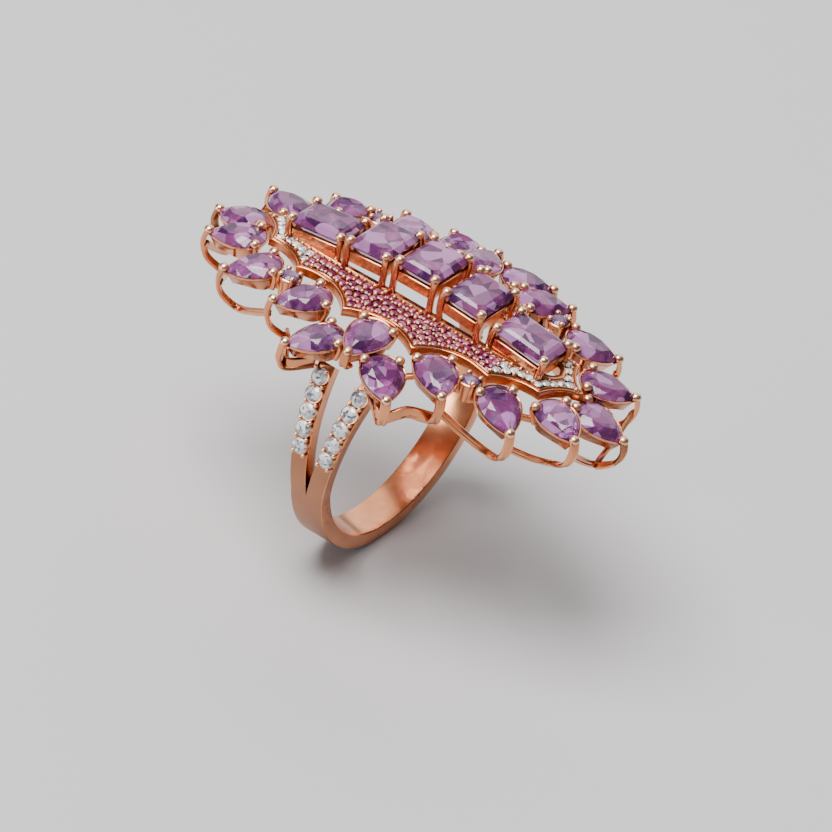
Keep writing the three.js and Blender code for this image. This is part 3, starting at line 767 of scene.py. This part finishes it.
def branch_middle(angle):
    """Sideways place of a branch's middle, at an angle in degrees."""
    climb = max(0.0, math.radians(angle - SPLIT_ANGLE))
    return BAND_WIDTH / 4 + BRANCH_SPREAD * climb


def half_shank_ring(angle):
    """The section of one half of the shank. The inner side is square where it meets the other half."""
    rise = math.radians(angle)
    depth = CHANNEL_DEPTH if angle > STEP_ANGLE else 0.0
    inner_round = min(max((angle - SPLIT_ANGLE) / 8, 0.0), 1.0) * GAP_ROUND
    half = BAND_WIDTH / 4
    low, high = BORE_RADIUS, BAND_RADIUS - depth
    corners = []
    for side, top, start, radius in ((1, 1, 0, EDGE_ROUND), (-1, 1, 90, inner_round),
                                     (-1, -1, 180, inner_round), (1, -1, 270, BORE_ROUND)):
        for i in range(4):
            turn = math.radians(start + 30 * i)
            y = side * (half - radius) + radius * math.cos(turn)
            r = (high - radius if top > 0 else low + radius) + radius * math.sin(turn)
            corners.append((branch_middle(angle) + y, r))
    return [(r * math.cos(rise), y, max(r * math.sin(rise), SHANK_FOOT)) for y, r in corners]


class RING_OT_shank(bpy.types.Operator):
    """Draws half of the split shank from its foot to a branch's end, and mirrors it round"""

    bl_idname = "ring.shank"
    bl_label = "Split shank"

    def execute(self, context):
        angles = [*np.linspace(-90, SPLIT_ANGLE, 38), *np.linspace(SPLIT_ANGLE + 1.5, STEP_ANGLE, 12),
                  STEP_ANGLE + 0.25, *np.linspace(STEP_ANGLE + 2, TOP_ANGLE, 22)]
        quarter = draw_rings("shank_quarter", [half_shank_ring(a) for a in angles], ends="open", angle=None)
        flips = [Matrix.Diagonal((x, y, 1, 1)) for x in (1, -1) for y in (1, -1)]
        shank = join_pieces("shank", [placed_copy(quarter, "shank_part", flip) for flip in flips])
        remove(quarter)
        bpy.ops.object.mode_set(mode="EDIT")
        bm = bmesh.from_edit_mesh(shank.data)
        seam = [f for f in bm.faces if all(abs(v.co.y) < DOUBLES for v in f.verts)]
        bmesh.ops.delete(bm, geom=seam, context="FACES")
        bmesh.update_edit_mesh(shank.data)
        bpy.ops.mesh.select_all(action="SELECT")
        bpy.ops.mesh.remove_doubles(threshold=DOUBLES)
        bpy.ops.mesh.select_all(action="SELECT")
        bpy.ops.mesh.fill_holes(sides=0)
        bpy.ops.object.mode_set(mode="OBJECT")
        tidy_mesh(shank, 28)
        shank.data.materials.clear()
        shank.data.materials.append(FINISHES["satin"])
        shank.data.materials.append(FINISHES["gold"])
        for face in shank.data.polygons:
            radius = math.hypot(face.center.x, face.center.z) / MM
            angle = math.degrees(math.asin(max(-1, min(1, face.center.z / MM / radius))))
            outside = radius > BAND_RADIUS - 0.06 and abs(face.normal.y) < 0.3
            face.material_index = 0 if outside and angle < STEP_ANGLE else 1
        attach(shank, "root")
        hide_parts("split_shank")
        return {"FINISHED"}


class RING_OT_shank_seats(bpy.types.Operator):
    """Cuts the scalloped collars and raises the beads that hold the shank's diamonds"""

    bl_idname = "ring.shank_seats"
    bl_label = "Diamond seats"

    def execute(self, context):
        wall = [(DIAMOND_RADIUS - 0.03, -0.01), (DIAMOND_RADIUS + 0.05, 0.0), (DIAMOND_RADIUS + 0.06, -0.32),
                (DIAMOND_RADIUS - 0.14, -0.32)]
        collar = draw_rings("collar_master", [[(r * c, r * s, z) for c, s in circle(20)] for r, z in wall],
                            ends="joined")
        bead = bead_master(0.15, 10, 6, 0.9)
        for arm in ARMS:
            seats = ARM_SEATS[arm]
            parts = [placed_copy(collar, "collar", in_metres(s.matrix)) for s in seats]
            beside = [Matrix.Translation((side * SEAT_BEAD[0], *SEAT_BEAD[1:])) for side in (-1, 1)]
            for first, second in zip(seats, seats[1:]):
                middle = first.matrix.lerp(second.matrix, 0.5)
                parts += [placed_copy(bead, "bead", in_metres(middle @ aside)) for aside in beside]
            run = (seats[1].matrix.translation - seats[0].matrix.translation) / 2
            for seat, sign in ((seats[0], -1), (seats[-1], 1)):
                for aside in beside:
                    spot = seat.matrix @ aside
                    spot.translation += sign * run * 0.85
                    parts.append(placed_copy(bead, "bead", in_metres(spot)))
            piece = join_pieces(f"diamond_seats_{arm}", parts)
            finish_piece(piece, FINISHES["gold"], "polished_rose_gold")
        remove(collar, bead)
        return {"FINISHED"}


# ---- Border ----------------------------------------------------------------------------------------------

# The border's cusps, from its side round to its tip: shares of its half width and half length, and how far
# the scallop after each hollows in, in millimetres.
CUSPS = ((1.0, 0.2154, 0.95), (0.6942, 0.594, 0.45), (0.4278, 0.8465, 0.38), (0.0, 1.0, 0.38))
SIDE_HOLLOW = 1.05
OPENING_HALF_WIDTH = 1.6
OPENING_HALF_LENGTH = 10.35
RIM_WIDTH = 0.37
INNER_RIM_WIDTH = 0.42
CAMBER = 0.3  # rise of the plate across its width
CAMBER_REACH = 3.2  # how far out from the opening the rise fades away
# Sections of the two rims: distance in from the edge, and height above the plate's top.
OUTER_RIM = ((0, -0.6), (0, -0.1), (0.02, -0.03), (0.07, 0.0), (0.12, 0.0), (0.155, -0.035), (0.17, -0.09),
             (0.215, -0.09), (0.235, 0.0), (0.27, 0.045), (0.315, 0.045), (0.35, 0.01), (RIM_WIDTH, -0.16))
INNER_RIM = ((INNER_RIM_WIDTH, -0.16), (0.4, 0.02), (0.35, 0.1), (0.1, 0.12), (0.03, 0.08), (0, 0.0))


def border_loop(steps=12):
    """The border's outer edge: cusps that point outwards, with a hollow scallop after each."""
    upper = [np.array((x * PLATE_HALF_X, y * PLATE_HALF_Y)) for x, y, _ in CUSPS]
    side = [*[c * (1, -1) for c in reversed(upper)], *upper][:-1]
    hollows = [c[2] for c in CUSPS[:-1]]
    depths = [*reversed(hollows), SIDE_HOLLOW, *hollows]
    cusps = [*side, *[-c for c in side]]
    points = []
    for i, here in enumerate(cusps):
        after = cusps[(i + 1) % len(cusps)]
        inward = np.array((here[1] - after[1], after[0] - here[0]))
        bend = (here + after) / 2 + 2 * depths[i % len(depths)] * inward / np.linalg.norm(inward)
        for k in range(steps):
            t = k / steps
            points.append((1 - t) ** 2 * here + 2 * t * (1 - t) * bend + t * t * after)
    return np.array(points)


def opening_loop(outer):
    """The opening's edge, one point for each point of the outer edge."""
    share = np.clip(outer[:, 1] / PLATE_HALF_Y, -1, 1)
    x = OPENING_HALF_WIDTH * np.sqrt(1 - share**4) * np.sign(outer[:, 0].round(6))
    return np.stack([x, share * OPENING_HALF_LENGTH], 1)


def even_opening(count=160):
    """The opening's edge with its points spread evenly round it."""
    turns = ((np.arange(count) + 0.5) / count) * 2 * math.pi
    climb = np.sign(np.sin(turns)) * np.sqrt(np.abs(np.sin(turns)))
    return np.stack([OPENING_HALF_WIDTH * np.cos(turns), OPENING_HALF_LENGTH * climb], 1)


def camber(x, y):
    """How far the plate has risen, from its outer edge towards the opening."""
    across = min(max(1 - (abs(x) - OPENING_HALF_WIDTH) / CAMBER_REACH, 0), 1)
    return CAMBER * across * (1 - (y / PLATE_HALF_Y) ** 4)


def draped(loop, height, share=0.0):
    """A loop laid on the plate's crown, with a share of its camber."""
    return [(x, y, plate_top(y) + height + share * camber(x, y)) for x, y in loop]


class RING_OT_border(bpy.types.Operator):
    """Draws the scalloped border plate, ring by ring across its two rims"""

    bl_idname = "ring.border"
    bl_label = "Border plate"

    def execute(self, context):
        outer = border_loop()
        opening = opening_loop(outer)
        rings = [draped(offset_loop(outer, d), z) for d, z in OUTER_RIM]
        rings += [draped(offset_loop(opening, -d), z, 1.0) for d, z in INNER_RIM]
        rings.append(draped(opening, -PLATE_THICKNESS))
        plate = draw_rings("border_plate", rings, ends="joined", angle=45)
        finish_piece(plate, FINISHES["gold"], "polished_rose_gold", "border_frame")
        return {"FINISHED"}


# ---- Pavé ------------------------------------------------------------------------------------------------

PINK_REACH = 7.3
PAVE_SAMPLE = 0.07
PAVE_ROUNDS = 40
PAVE_SEED = 7
BED_LAP = 0.02  # the bed reaches this far under each rim
STONE_SINK = -0.09
BEAD_SINK = -0.02
PaveBed = namedtuple("PaveBed", "samples count small large apart node sides title finish slot")


def pack_stones(samples, count, seed):
    """Spreads stones evenly over a bed, by moving each to the middle of what lies nearest to it."""
    draw = np.random.default_rng(seed)
    spots = samples[draw.choice(len(samples), count, replace=False)]
    for _ in range(PAVE_ROUNDS):
        nearest = np.linalg.norm(samples[:, None] - spots[None], axis=2).argmin(1)
        spots = np.array([samples[nearest == i].mean(0) if (nearest == i).any() else spots[i]
                          for i in range(count)])
    return spots


def stone_radii(spots, edge, smallest, largest):
    """Each stone as large as its neighbours and the bed's edge let it be."""
    gaps = np.linalg.norm(spots[:, None] - spots[None], axis=2) + np.eye(len(spots)) * 9
    to_edge = np.linalg.norm(spots[:, None] - edge[None], axis=2).min(1)
    return np.clip(np.minimum(gaps.min(1) * 0.51, to_edge + 0.02), smallest, largest)


def bead_spots(samples, spots, radii, least, apart):
    """The free places between the stones, the roomiest first."""
    room = (np.linalg.norm(samples[:, None] - spots[None], axis=2) - radii).min(1)
    chosen = []
    for i in np.argsort(-room):
        if room[i] < least:
            break
        if all(np.linalg.norm(samples[i] - samples[j]) > apart for j in chosen):
            chosen.append(i)
    return samples[chosen], room[chosen]


def bead_master(radius, segments=14, rings=8, flat=0.78):
    """A bead of metal, a little flattened."""
    bpy.ops.object.select_all(action="DESELECT")
    bpy.ops.mesh.primitive_uv_sphere_add(segments=segments, ring_count=rings, radius=radius * MM,
                                         location=(0, 0, 0))
    obj = bpy.context.active_object
    bpy.ops.object.mode_set(mode="EDIT")
    bpy.ops.mesh.select_all(action="SELECT")
    bpy.ops.transform.resize(value=(1, 1, flat))
    bpy.ops.object.mode_set(mode="OBJECT")
    # Every bead takes the bead finish, the rose gold painted paler as painted highlight.
    obj.data.materials.append(FINISHES["bead"])
    return tidy_mesh(obj, 60)


def on_plate(x, y, height, size=1.0):
    """A place on the plate, upright to its crown."""
    slope = math.atan(-2 * PLATE_CROWN * y)
    return (Matrix.Translation(Vector((x, y, plate_top(y) + camber(x, y) + height)) * MM)
            @ Matrix.Rotation(slope, 4, "X") @ Matrix.Diagonal((size, size, size, 1)))


class RING_OT_pave(bpy.types.Operator):
    """Sets the pavé in the border's bed and raises a bead in each gap"""

    bl_idname = "ring.pave"
    bl_label = "Pavé"

    def execute(self, context):
        pave = context.scene.ring_pave
        bed_edge = offset_loop(border_loop(), RIM_WIDTH - BED_LAP)
        hole_edge = offset_loop(even_opening(), -INNER_RIM_WIDTH + BED_LAP)
        edge = np.concatenate([bed_edge, hole_edge])
        ticks_x = np.arange(-PLATE_HALF_X, PLATE_HALF_X, PAVE_SAMPLE)
        ticks_y = np.arange(-PLATE_HALF_Y, PLATE_HALF_Y, PAVE_SAMPLE)
        grid = np.stack(np.meshgrid(ticks_x, ticks_y), 2).reshape(-1, 2) + 0.001
        bed = grid[inside(bed_edge, grid) & ~inside(hole_edge, grid)]
        near = bed[(bed[:, 0] > 0) & (abs(bed[:, 1]) < PINK_REACH)]
        right = bed[bed[:, 1] > PINK_REACH]
        loop = circle(8, 1.0, math.radians(22.5))
        cut = [*ring_at(loop, 0.58, 0.3), *ring_at(loop, 1, 0.03), *ring_at(loop, 1, -0.05), (0, 0, -0.6)]
        stone = draw_hull("pave_master", cut)
        bpy.ops.object.select_all(action="DESELECT")
        bpy.ops.mesh.primitive_ico_sphere_add(subdivisions=2, radius=MM, location=(0, 0, 0))
        bead = tidy_mesh(bpy.context.active_object, 60)
        beds = [
            PaveBed(near, pave.pink_count, 0.24, 0.37, 0.27, "pink_pave", (("near", 1, 1), ("far", -1, 1)),
                    "pink_sapphires", "sapphire", "pink_sapphire"),
            PaveBed(right, pave.white_count, 0.3, 0.5, 0.26, "white_pave", (("right", 1, 1), ("left", 1, -1)),
                    "white_diamonds", "diamond", "diamond"),
        ]
        for kind in beds:
            spots = pack_stones(kind.samples, kind.count, PAVE_SEED)
            radii = stone_radii(spots, edge, kind.small, kind.large)
            gaps, room = bead_spots(kind.samples, spots, radii, 0.03, kind.apart)
            sizes = [min(g * 0.6 + 0.075, pave.bead_radius) for g in room]
            for side, fx, fy in kind.sides:
                stones = [placed_copy(stone, "stone", on_plate(fx * x, fy * y, STONE_SINK, r))
                          for (x, y), r in zip(spots, radii)]
                piece = join_pieces(f"{kind.title}_{side}", stones)
                finish_piece(piece, FINISHES[kind.finish], kind.slot, f"{kind.node}_{side}")
                beads = [placed_copy(bead, "bead", on_plate(fx * x, fy * y, BEAD_SINK, size))
                         for (x, y), size in zip(gaps, sizes)]
                piece = join_pieces(f"pave_beads_{kind.title}_{side}", beads)
                # The pavé beads take the bead finish, the rose gold painted paler as painted highlight.
                finish_piece(piece, FINISHES["bead"], "polished_rose_gold")
        remove(stone, bead)
        return {"FINISHED"}


# ---- Centre row settings ---------------------------------------------------------------------------------


ROW_CORNER = 0.36
PRONG_REACH = 0.16  # a prong's foot stands this far out from the opening's edge
HEAD_INSET = 0.14  # a bead sits this far in from its stone's corner
ROW_PRONG = 1.15  # the row's prongs are this much stouter than the halo's
# Section of a basket's rail: distance in from the stone's edge, and depth below its girdle.
RAIL_SECTION = ((0.02, -0.4), (-0.03, -0.44), (-0.03, -1.15), (0.02, -1.2), (0.28, -1.2), (0.32, -1.15),
                (0.3, -0.5), (0.26, -0.4))


def prong_wire(name, path, radius, side, count=10):
    """A round wire along a smooth path."""
    line = smooth_path(path, 5)
    return draw_rings(name, sweep(line, circle(count, radius), side=side))


class RING_OT_row_settings(bpy.types.Operator):
    """Draws each basket of the centre row: a rail and four prongs that stand on the border's inner rim"""

    bl_idname = "ring.row_settings"
    bl_label = "Centre row settings"

    def execute(self, context):
        metal = context.scene.ring_metal
        bead = bead_master(metal.bead)
        foot_x = OPENING_HALF_WIDTH + PRONG_REACH
        for i, seat in enumerate(ROW):
            half_x, half_y = seat.length / 2, seat.width / 2
            outline = []
            for sx, sy in ((1, 1), (-1, 1), (-1, -1), (1, -1)):
                pair = [(sx * half_x, sy * (half_y - ROW_CORNER)),
                        (sx * (half_x - ROW_CORNER), sy * half_y)]
                outline += pair if sx * sy > 0 else pair[::-1]
            outline = np.array(outline)
            parts = []
            rings = [[(x, y, z) for x, y in offset_loop(outline, d)] for d, z in RAIL_SECTION]
            rings = [to_ring(seat.matrix, ring) for ring in rings]
            parts.append(draw_rings("rail", rings, ends="joined"))
            for sx in (-1, 1):
                for sy in (-1, 1):
                    head = to_ring(seat.matrix, [
                        (sx * (half_x - 0.06), sy * (half_y - 0.06), -1.0),
                        (sx * (half_x - 0.02), sy * (half_y - 0.02), -0.35),
                        (sx * (half_x - 0.06), sy * (half_y - 0.06), 0.1),
                        (sx * (half_x - HEAD_INSET), sy * (half_y - HEAD_INSET), 0.26),
                    ])
                    foot_y = head[2][1]
                    edge = OPENING_HALF_WIDTH * math.sqrt(max(0.0, 1 - (foot_y / OPENING_HALF_LENGTH)**4))
                    reach = max(edge + PRONG_REACH, min(foot_x, half_x))
                    foot = np.array((sx * reach, foot_y, plate_top(foot_y) - 0.1))
                    path = [foot, foot * 0.55 + head[0] * 0.45 + (0, 0, 0.05), *head]
                    parts.append(prong_wire("prong", path, metal.prong * ROW_PRONG, (1, 0, 0)))
                    inset = (sx * (half_x - HEAD_INSET), sy * (half_y - HEAD_INSET), 0.3)
                    top = Matrix.Translation(inset)
                    parts.append(placed_copy(bead, "bead", in_metres(seat.matrix @ top)))
            piece = join_pieces(f"row_setting_{i + 1}", parts)
            finish_piece(piece, FINISHES["gold"], "polished_rose_gold", "centre_row_setting")
        remove(bead)
        return {"FINISHED"}


# ---- Halo settings and gallery ---------------------------------------------------------------------------

# One quarter of the halo: where each tip wire's foot lands, inward of the tip and below it, and how far
# round from the tip the two shoulder prongs stand, in degrees.
FEET = ((0.42, 1.88, 135), (0.5, 1.7, 135), (1.5, 2.7, 135), (1.5, 2.6, 135), (1.7, 2.7, 135),
        (1.5, 2.4, 157))
WIRE_GAUGE = 0.165
BRANCH_END = (7.9, 2.3)  # where a branch of the shank ends, sideways and along
RIBBON_ENDS = ((2, 1), (8, 9), (12, 11), (18, 19))  # the wires that each ribbon of the gallery runs between


def quarter_index(i):
    """Which entry of the quarter stands for pear i, counted from 0 at +X."""
    return (0, 1, 2, 3, 4, 5, 4, 3, 2, 1)[i % 10]


def branch_end(beside, height):
    """The end of the branch that stands on a point's side of the ring, at a height."""
    x, y = (math.copysign(size, place) for size, place in zip(BRANCH_END, beside))
    return np.array((x, y, height))


def pear_edge(degrees):
    """The point of a pear's outline that lies this many degrees round from its tip."""
    return pear_loop(count=360)[degrees % 360]


def wire_feet():
    """Each tip's place, the way it points, and the foot of its wire."""
    feet = []
    for i, seat in enumerate(PEARS):
        inward_by, down_by, _ = FEET[quarter_index(i)]
        tip = np.array(seat.matrix @ Vector((PEAR_LENGTH / 2 + 0.25, 0, 0)))
        heading = np.array(seat.matrix.to_3x3() @ Vector((1, 0, 0)))
        heading[2] = 0
        heading /= np.linalg.norm(heading)
        feet.append((tip, heading, tip - heading * inward_by - (0, 0, down_by)))
    return feet


def wire_lines(i, feet):
    """Where a tip's wire runs: down to its foot, then up to the wire or the branch that carries it."""
    tip, heading, foot = feet[i]
    index = quarter_index(i)
    drop = tip[2] - foot[2]
    down = [tip + heading * 0.04 - (0, 0, drop * 0.3),
            tip * 0.62 + foot * 0.38 + heading * 0.2 - (0, 0, drop * 0.3),
            foot + (0, 0, 0.02)]
    if index == 0:
        return [[down[0], tip - heading * 0.1 - (0, 0, 0.85), tip - heading * 0.65 - (0, 0, 0.98)]]
    if index == 1:
        return [[*down, branch_end(tip, 5.6)]]
    lines = []
    for j in ((i + 1) % len(feet), (i - 1) % len(feet)):
        if quarter_index(j) != index - 1:
            continue
        end = feet[j][0] - feet[j][1] * 0.12 - (0, 0, 0.85) if index > 2 else feet[j][2]
        middle = (foot + end) / 2 - (0, 0, 0.12 if index > 2 else -0.5)
        lines.append([*down, middle, end])
    return lines


class RING_OT_halo(bpy.types.Operator):
    """Draws each pear's setting: its collet, two shoulder prongs and the grooved wire that holds its tip"""

    bl_idname = "ring.halo"
    bl_label = "Pear settings"

    def execute(self, context):
        metal = context.scene.ring_metal
        wall, height = metal.collet_wall, metal.collet_height
        bead = bead_master(metal.bead)
        # Section of the collet: growth of the pear's outline, and height above its girdle.
        section = ((0.01, -0.03), (0.06, 0.02), (wall - 0.03, 0.02), (wall, -0.03), (wall, -0.12),
                   (wall - 0.06, -0.17), (wall - 0.06, -height), (0.02, -height), (-0.02, -0.5), (-0.01, -0.12))
        turns = (np.arange(32) / 32) * 2 * math.pi
        feet = wire_feet()
        for i, (seat, (_, heading, _)) in enumerate(zip(PEARS, feet)):
            shoulder = FEET[quarter_index(i)][2]
            rings = []
            for grow, z in section:
                taper = 1 - 0.24 * max(0.0, -z) / height
                arch = 0.28 if z <= -height else 0.0
                heights = z + arch * np.abs(np.sin(turns * 1.5)) ** 1.5
                rings.append([(x, y, h) for (x, y), h in zip(pear_loop(grow) * taper, heights)])
            rings = [to_ring(seat.matrix, ring) for ring in rings]
            parts = [draw_rings("collet", rings, ends="joined")]
            for sign in (-1, 1):
                edge = pear_edge(sign * shoulder)
                away = edge / np.linalg.norm(edge)
                path = [(*(edge * 0.76 + away * 0.1), -height), (*(edge * 0.9 + away * 0.14), -0.6),
                        (*(edge + away * 0.16), -0.1), (*(edge + away * 0.1), 0.1), (*edge, 0.2)]
                path = to_ring(seat.matrix, path)
                parts.append(prong_wire("prong", path, metal.prong, heading))
                top = Matrix.Translation((*(edge + away * 0.03), 0.24))
                parts.append(placed_copy(bead, "bead", in_metres(seat.matrix @ top)))
            head = to_ring(seat.matrix, [(PEAR_LENGTH / 2 + 0.02, 0, 0.2), (PEAR_LENGTH / 2 + 0.2, 0, 0.02)])
            for line in wire_lines(i, feet):
                line = smooth_path([*head, *line], 5)
                side = np.cross((0, 0, 1), heading)
                for shift, gauge, sink in ((-1, 1.0, 0), (1, 1.0, 0), (0, 0.9, 0.06)):
                    path = [p + side * shift * WIRE_GAUGE * 1.05 + (0, 0, sink) for p in line]
                    parts.append(draw_rings("wire", sweep(path, circle(8, WIRE_GAUGE * gauge), side=side)))
            top = Matrix.Translation((PEAR_LENGTH / 2 + 0.05, 0, 0.22))
            parts.append(placed_copy(bead, "bead", in_metres(seat.matrix @ top)))
            piece = join_pieces(f"pear_setting_{i + 1:02d}", parts)
            finish_piece(piece, FINISHES["gold"], "polished_rose_gold", "outer_setting_frame")
        remove(bead)
        return {"FINISHED"}


class RING_OT_gallery(bpy.types.Operator):
    """Draws the gallery's four ribbons beside the shank, and the tie that runs under the collets"""

    bl_idname = "ring.gallery"
    bl_label = "Gallery"

    def execute(self, context):
        _, _, feet = zip(*wire_feet())
        ribbons = []
        for ends in RIBBON_ENDS:
            outer, inner = (feet[k] for k in ends)
            arch = (outer + inner) / 2 + (0, 0, 0.75)
            landing = branch_end(inner, 5.75)
            start = outer + (outer - inner) * 0.06 + (0, 0, 0.25)
            line = smooth_path([start, arch, inner + (0, 0, 0.35), landing], 6)
            ribbons.append(draw_rings("ribbon", sweep(line, rounded_box(0.28, 0.85, 0.08), up=(0, 0, 1))))
        band = join_pieces("gallery_band", ribbons)
        finish_piece(band, FINISHES["gold"], "polished_rose_gold", "gallery_rail")
        under = [seat.matrix @ Vector((-PEAR_LENGTH * 0.26, 0, -1.1)) for seat in PEARS]
        line = smooth_path(under, 5, closed=True)
        rings = sweep(line, rounded_box(0.38, 0.42, 0.1), up=(0, 0, 1), closed=True)
        tie = draw_rings("collet_tie", rings, ends="joined")
        finish_piece(tie, FINISHES["gold"], "polished_rose_gold", "outer_setting_frame")
        return {"FINISHED"}


class RING_OT_accents(bpy.types.Operator):
    """Draws the round cups of the four accents"""

    bl_idname = "ring.accents"
    bl_label = "Accent settings"

    def execute(self, context):
        radius = ACCENTS[0].length / 2 + ACCENT_MARGIN
        section = ((0.0, -0.05), (0.05, 0.0), (0.12, -0.04), (0.12, -0.16), (0.08, -0.22), (-0.02, -1.35),
                   (-0.14, -1.35), (-0.05, -0.3))
        rings = [[((radius + d) * c, (radius + d) * s, z) for c, s in circle(24)] for d, z in section]
        parts = [draw_rings("cup", rings, ends="joined")]
        bead = bead_master(0.19)
        for turn in (45, 135, 225, 315):
            away = np.array((math.cos(math.radians(turn)), math.sin(math.radians(turn))))
            path = [(*(away * (radius - 0.02)), -1.0), (*(away * (radius + 0.12)), -0.3),
                    (*(away * (radius + 0.1)), 0.05), (*(away * (radius + 0.02)), 0.15)]
            parts.append(prong_wire("prong", path, 0.13, (away[1], -away[0], 0), 8))
            top = Matrix.Translation(Vector((*(away * (radius + 0.03)), 0.17)) * MM)
            parts.append(placed_copy(bead, "bead", top))
        master = join_pieces("accent_master", parts)
        for i, seat in enumerate(ACCENTS, 1):
            cup = placed_copy(master, f"accent_cup_{i}", in_metres(seat.matrix))
            finish_piece(cup, FINISHES["gold"], "polished_rose_gold", "outer_setting_frame")
        remove(bead, master)
        return {"FINISHED"}


# ---- Stage -----------------------------------------------------------------------------------------------

# The camera's place in millimetres, and the ways it points, in the ring's own frame.
CAMERA_PLACE = (343.65, 179.79, 267.96)
CAMERA_RIGHT = (-0.5678, 0.7995, 0.1958)
CAMERA_DOWN = (0.3809, 0.4661, -0.7986)
CAMERA_FORWARD = (-0.7297, -0.3789, -0.5692)
# Each light's name, place, target, size, power in watts and colour.
LIGHTS = (
    ("key", (0.10, -0.10, 0.45), (0, 0, 0), (0.3, 0.3), 5.0, (1.0, 0.97, 0.94)),
    ("side", (0.34, -0.26, 0.12), (0, 0, 0), (0.14, 0.18), 0.8, (1, 1, 1)),
    ("back", (-0.32, -0.12, 0.22), (0, 0, 0.005), (0.5, 0.4), 1.0, (1.0, 0.96, 0.94)),
)
SKY_COLOUR = (0.86, 0.92, 1.0, 1)
SKY_STRENGTH = 0.14


def soft_light(name, place, target, size, watts, colour):
    """A soft rectangular light that faces its target."""
    light = bpy.data.lights.new(name, "AREA")
    light.shape = "RECTANGLE"
    light.size, light.size_y = size
    light.energy = watts
    light.color = colour
    lamp = bpy.data.objects.new(name, light)
    lamp.location = place
    lamp.rotation_euler = (Vector(target) - Vector(place)).to_track_quat("-Z", "Y").to_euler()
    bpy.context.scene.collection.objects.link(lamp)


class RING_OT_stage(bpy.types.Operator):
    """Lays the floor and sets the soft lights and the camera"""

    bl_idname = "ring.stage"
    bl_label = "Stage"

    def execute(self, context):
        stage = context.scene.ring_stage
        bpy.ops.object.select_all(action="DESELECT")
        bpy.ops.mesh.primitive_plane_add(size=6, location=(0, 0, CAD_LOW.z))
        floor = context.active_object
        floor.name = "floor"
        finish, _, shader = new_finish("floor")
        shader.inputs["Base Color"].default_value = (*stage.floor, 1)
        shader.inputs["Roughness"].default_value = 0.55
        floor.data.materials.append(finish)
        world = bpy.data.worlds.new("studio")
        context.scene.world = world
        world.use_nodes = True
        sky = world.node_tree.nodes["Background"]
        sky.inputs["Color"].default_value = SKY_COLOUR
        sky.inputs["Strength"].default_value = SKY_STRENGTH
        for light in LIGHTS:
            soft_light(*light)
        lens = bpy.data.cameras.new("camera")
        lens.lens = stage.lens
        lens.clip_start, lens.clip_end = 0.01, 50
        camera = bpy.data.objects.new("camera", lens)
        axes = zip(CAMERA_RIGHT, (-d for d in CAMERA_DOWN), (-f for f in CAMERA_FORWARD), CAMERA_PLACE)
        camera.matrix_world = Matrix([(r, u, b, p * MM) for r, u, b, p in axes] + [(0, 0, 0, 1)])
        context.scene.collection.objects.link(camera)
        context.scene.camera = camera
        return {"FINISHED"}


# ---- Add-on ----------------------------------------------------------------------------------------------

STEPS = (RING_OT_shank, RING_OT_shank_seats, RING_OT_border, RING_OT_pave, RING_OT_row_settings,
         RING_OT_halo, RING_OT_gallery, RING_OT_accents, RING_OT_row_stones, RING_OT_pears,
         RING_OT_small_stones, RING_OT_stage)
SETTINGS = {"ring_stones": RingStones, "ring_metal": RingMetal, "ring_pave": RingPave,
            "ring_stage": RingStage}


class RING_PT_panel(bpy.types.Panel):
    """The steps that build the ring"""

    bl_idname = "RING_PT_panel"
    bl_label = "Cocktail ring"
    bl_space_type = "VIEW_3D"
    bl_region_type = "UI"
    bl_category = "Ring"

    def draw(self, context):
        for name, group in SETTINGS.items():
            box = self.layout.box()
            for label in group.__annotations__:
                box.prop(getattr(context.scene, name), label)
        for step in STEPS:
            self.layout.operator(step.bl_idname)


def register():
    for cls in (*SETTINGS.values(), *STEPS, RING_PT_panel):
        bpy.utils.register_class(cls)
    for name, group in SETTINGS.items():
        setattr(bpy.types.Scene, name, PointerProperty(type=group))


def unregister():
    for name in SETTINGS:
        delattr(bpy.types.Scene, name)
    for cls in reversed((*SETTINGS.values(), *STEPS, RING_PT_panel)):
        bpy.utils.unregister_class(cls)


def main():
    register()
    scene = bpy.context.scene
    make_finishes(scene.ring_metal, scene.ring_stones)
    for step in STEPS:
        area, name = step.bl_idname.split(".")
        getattr(getattr(bpy.ops, area), name)()


if __name__ == "__main__":
    main()
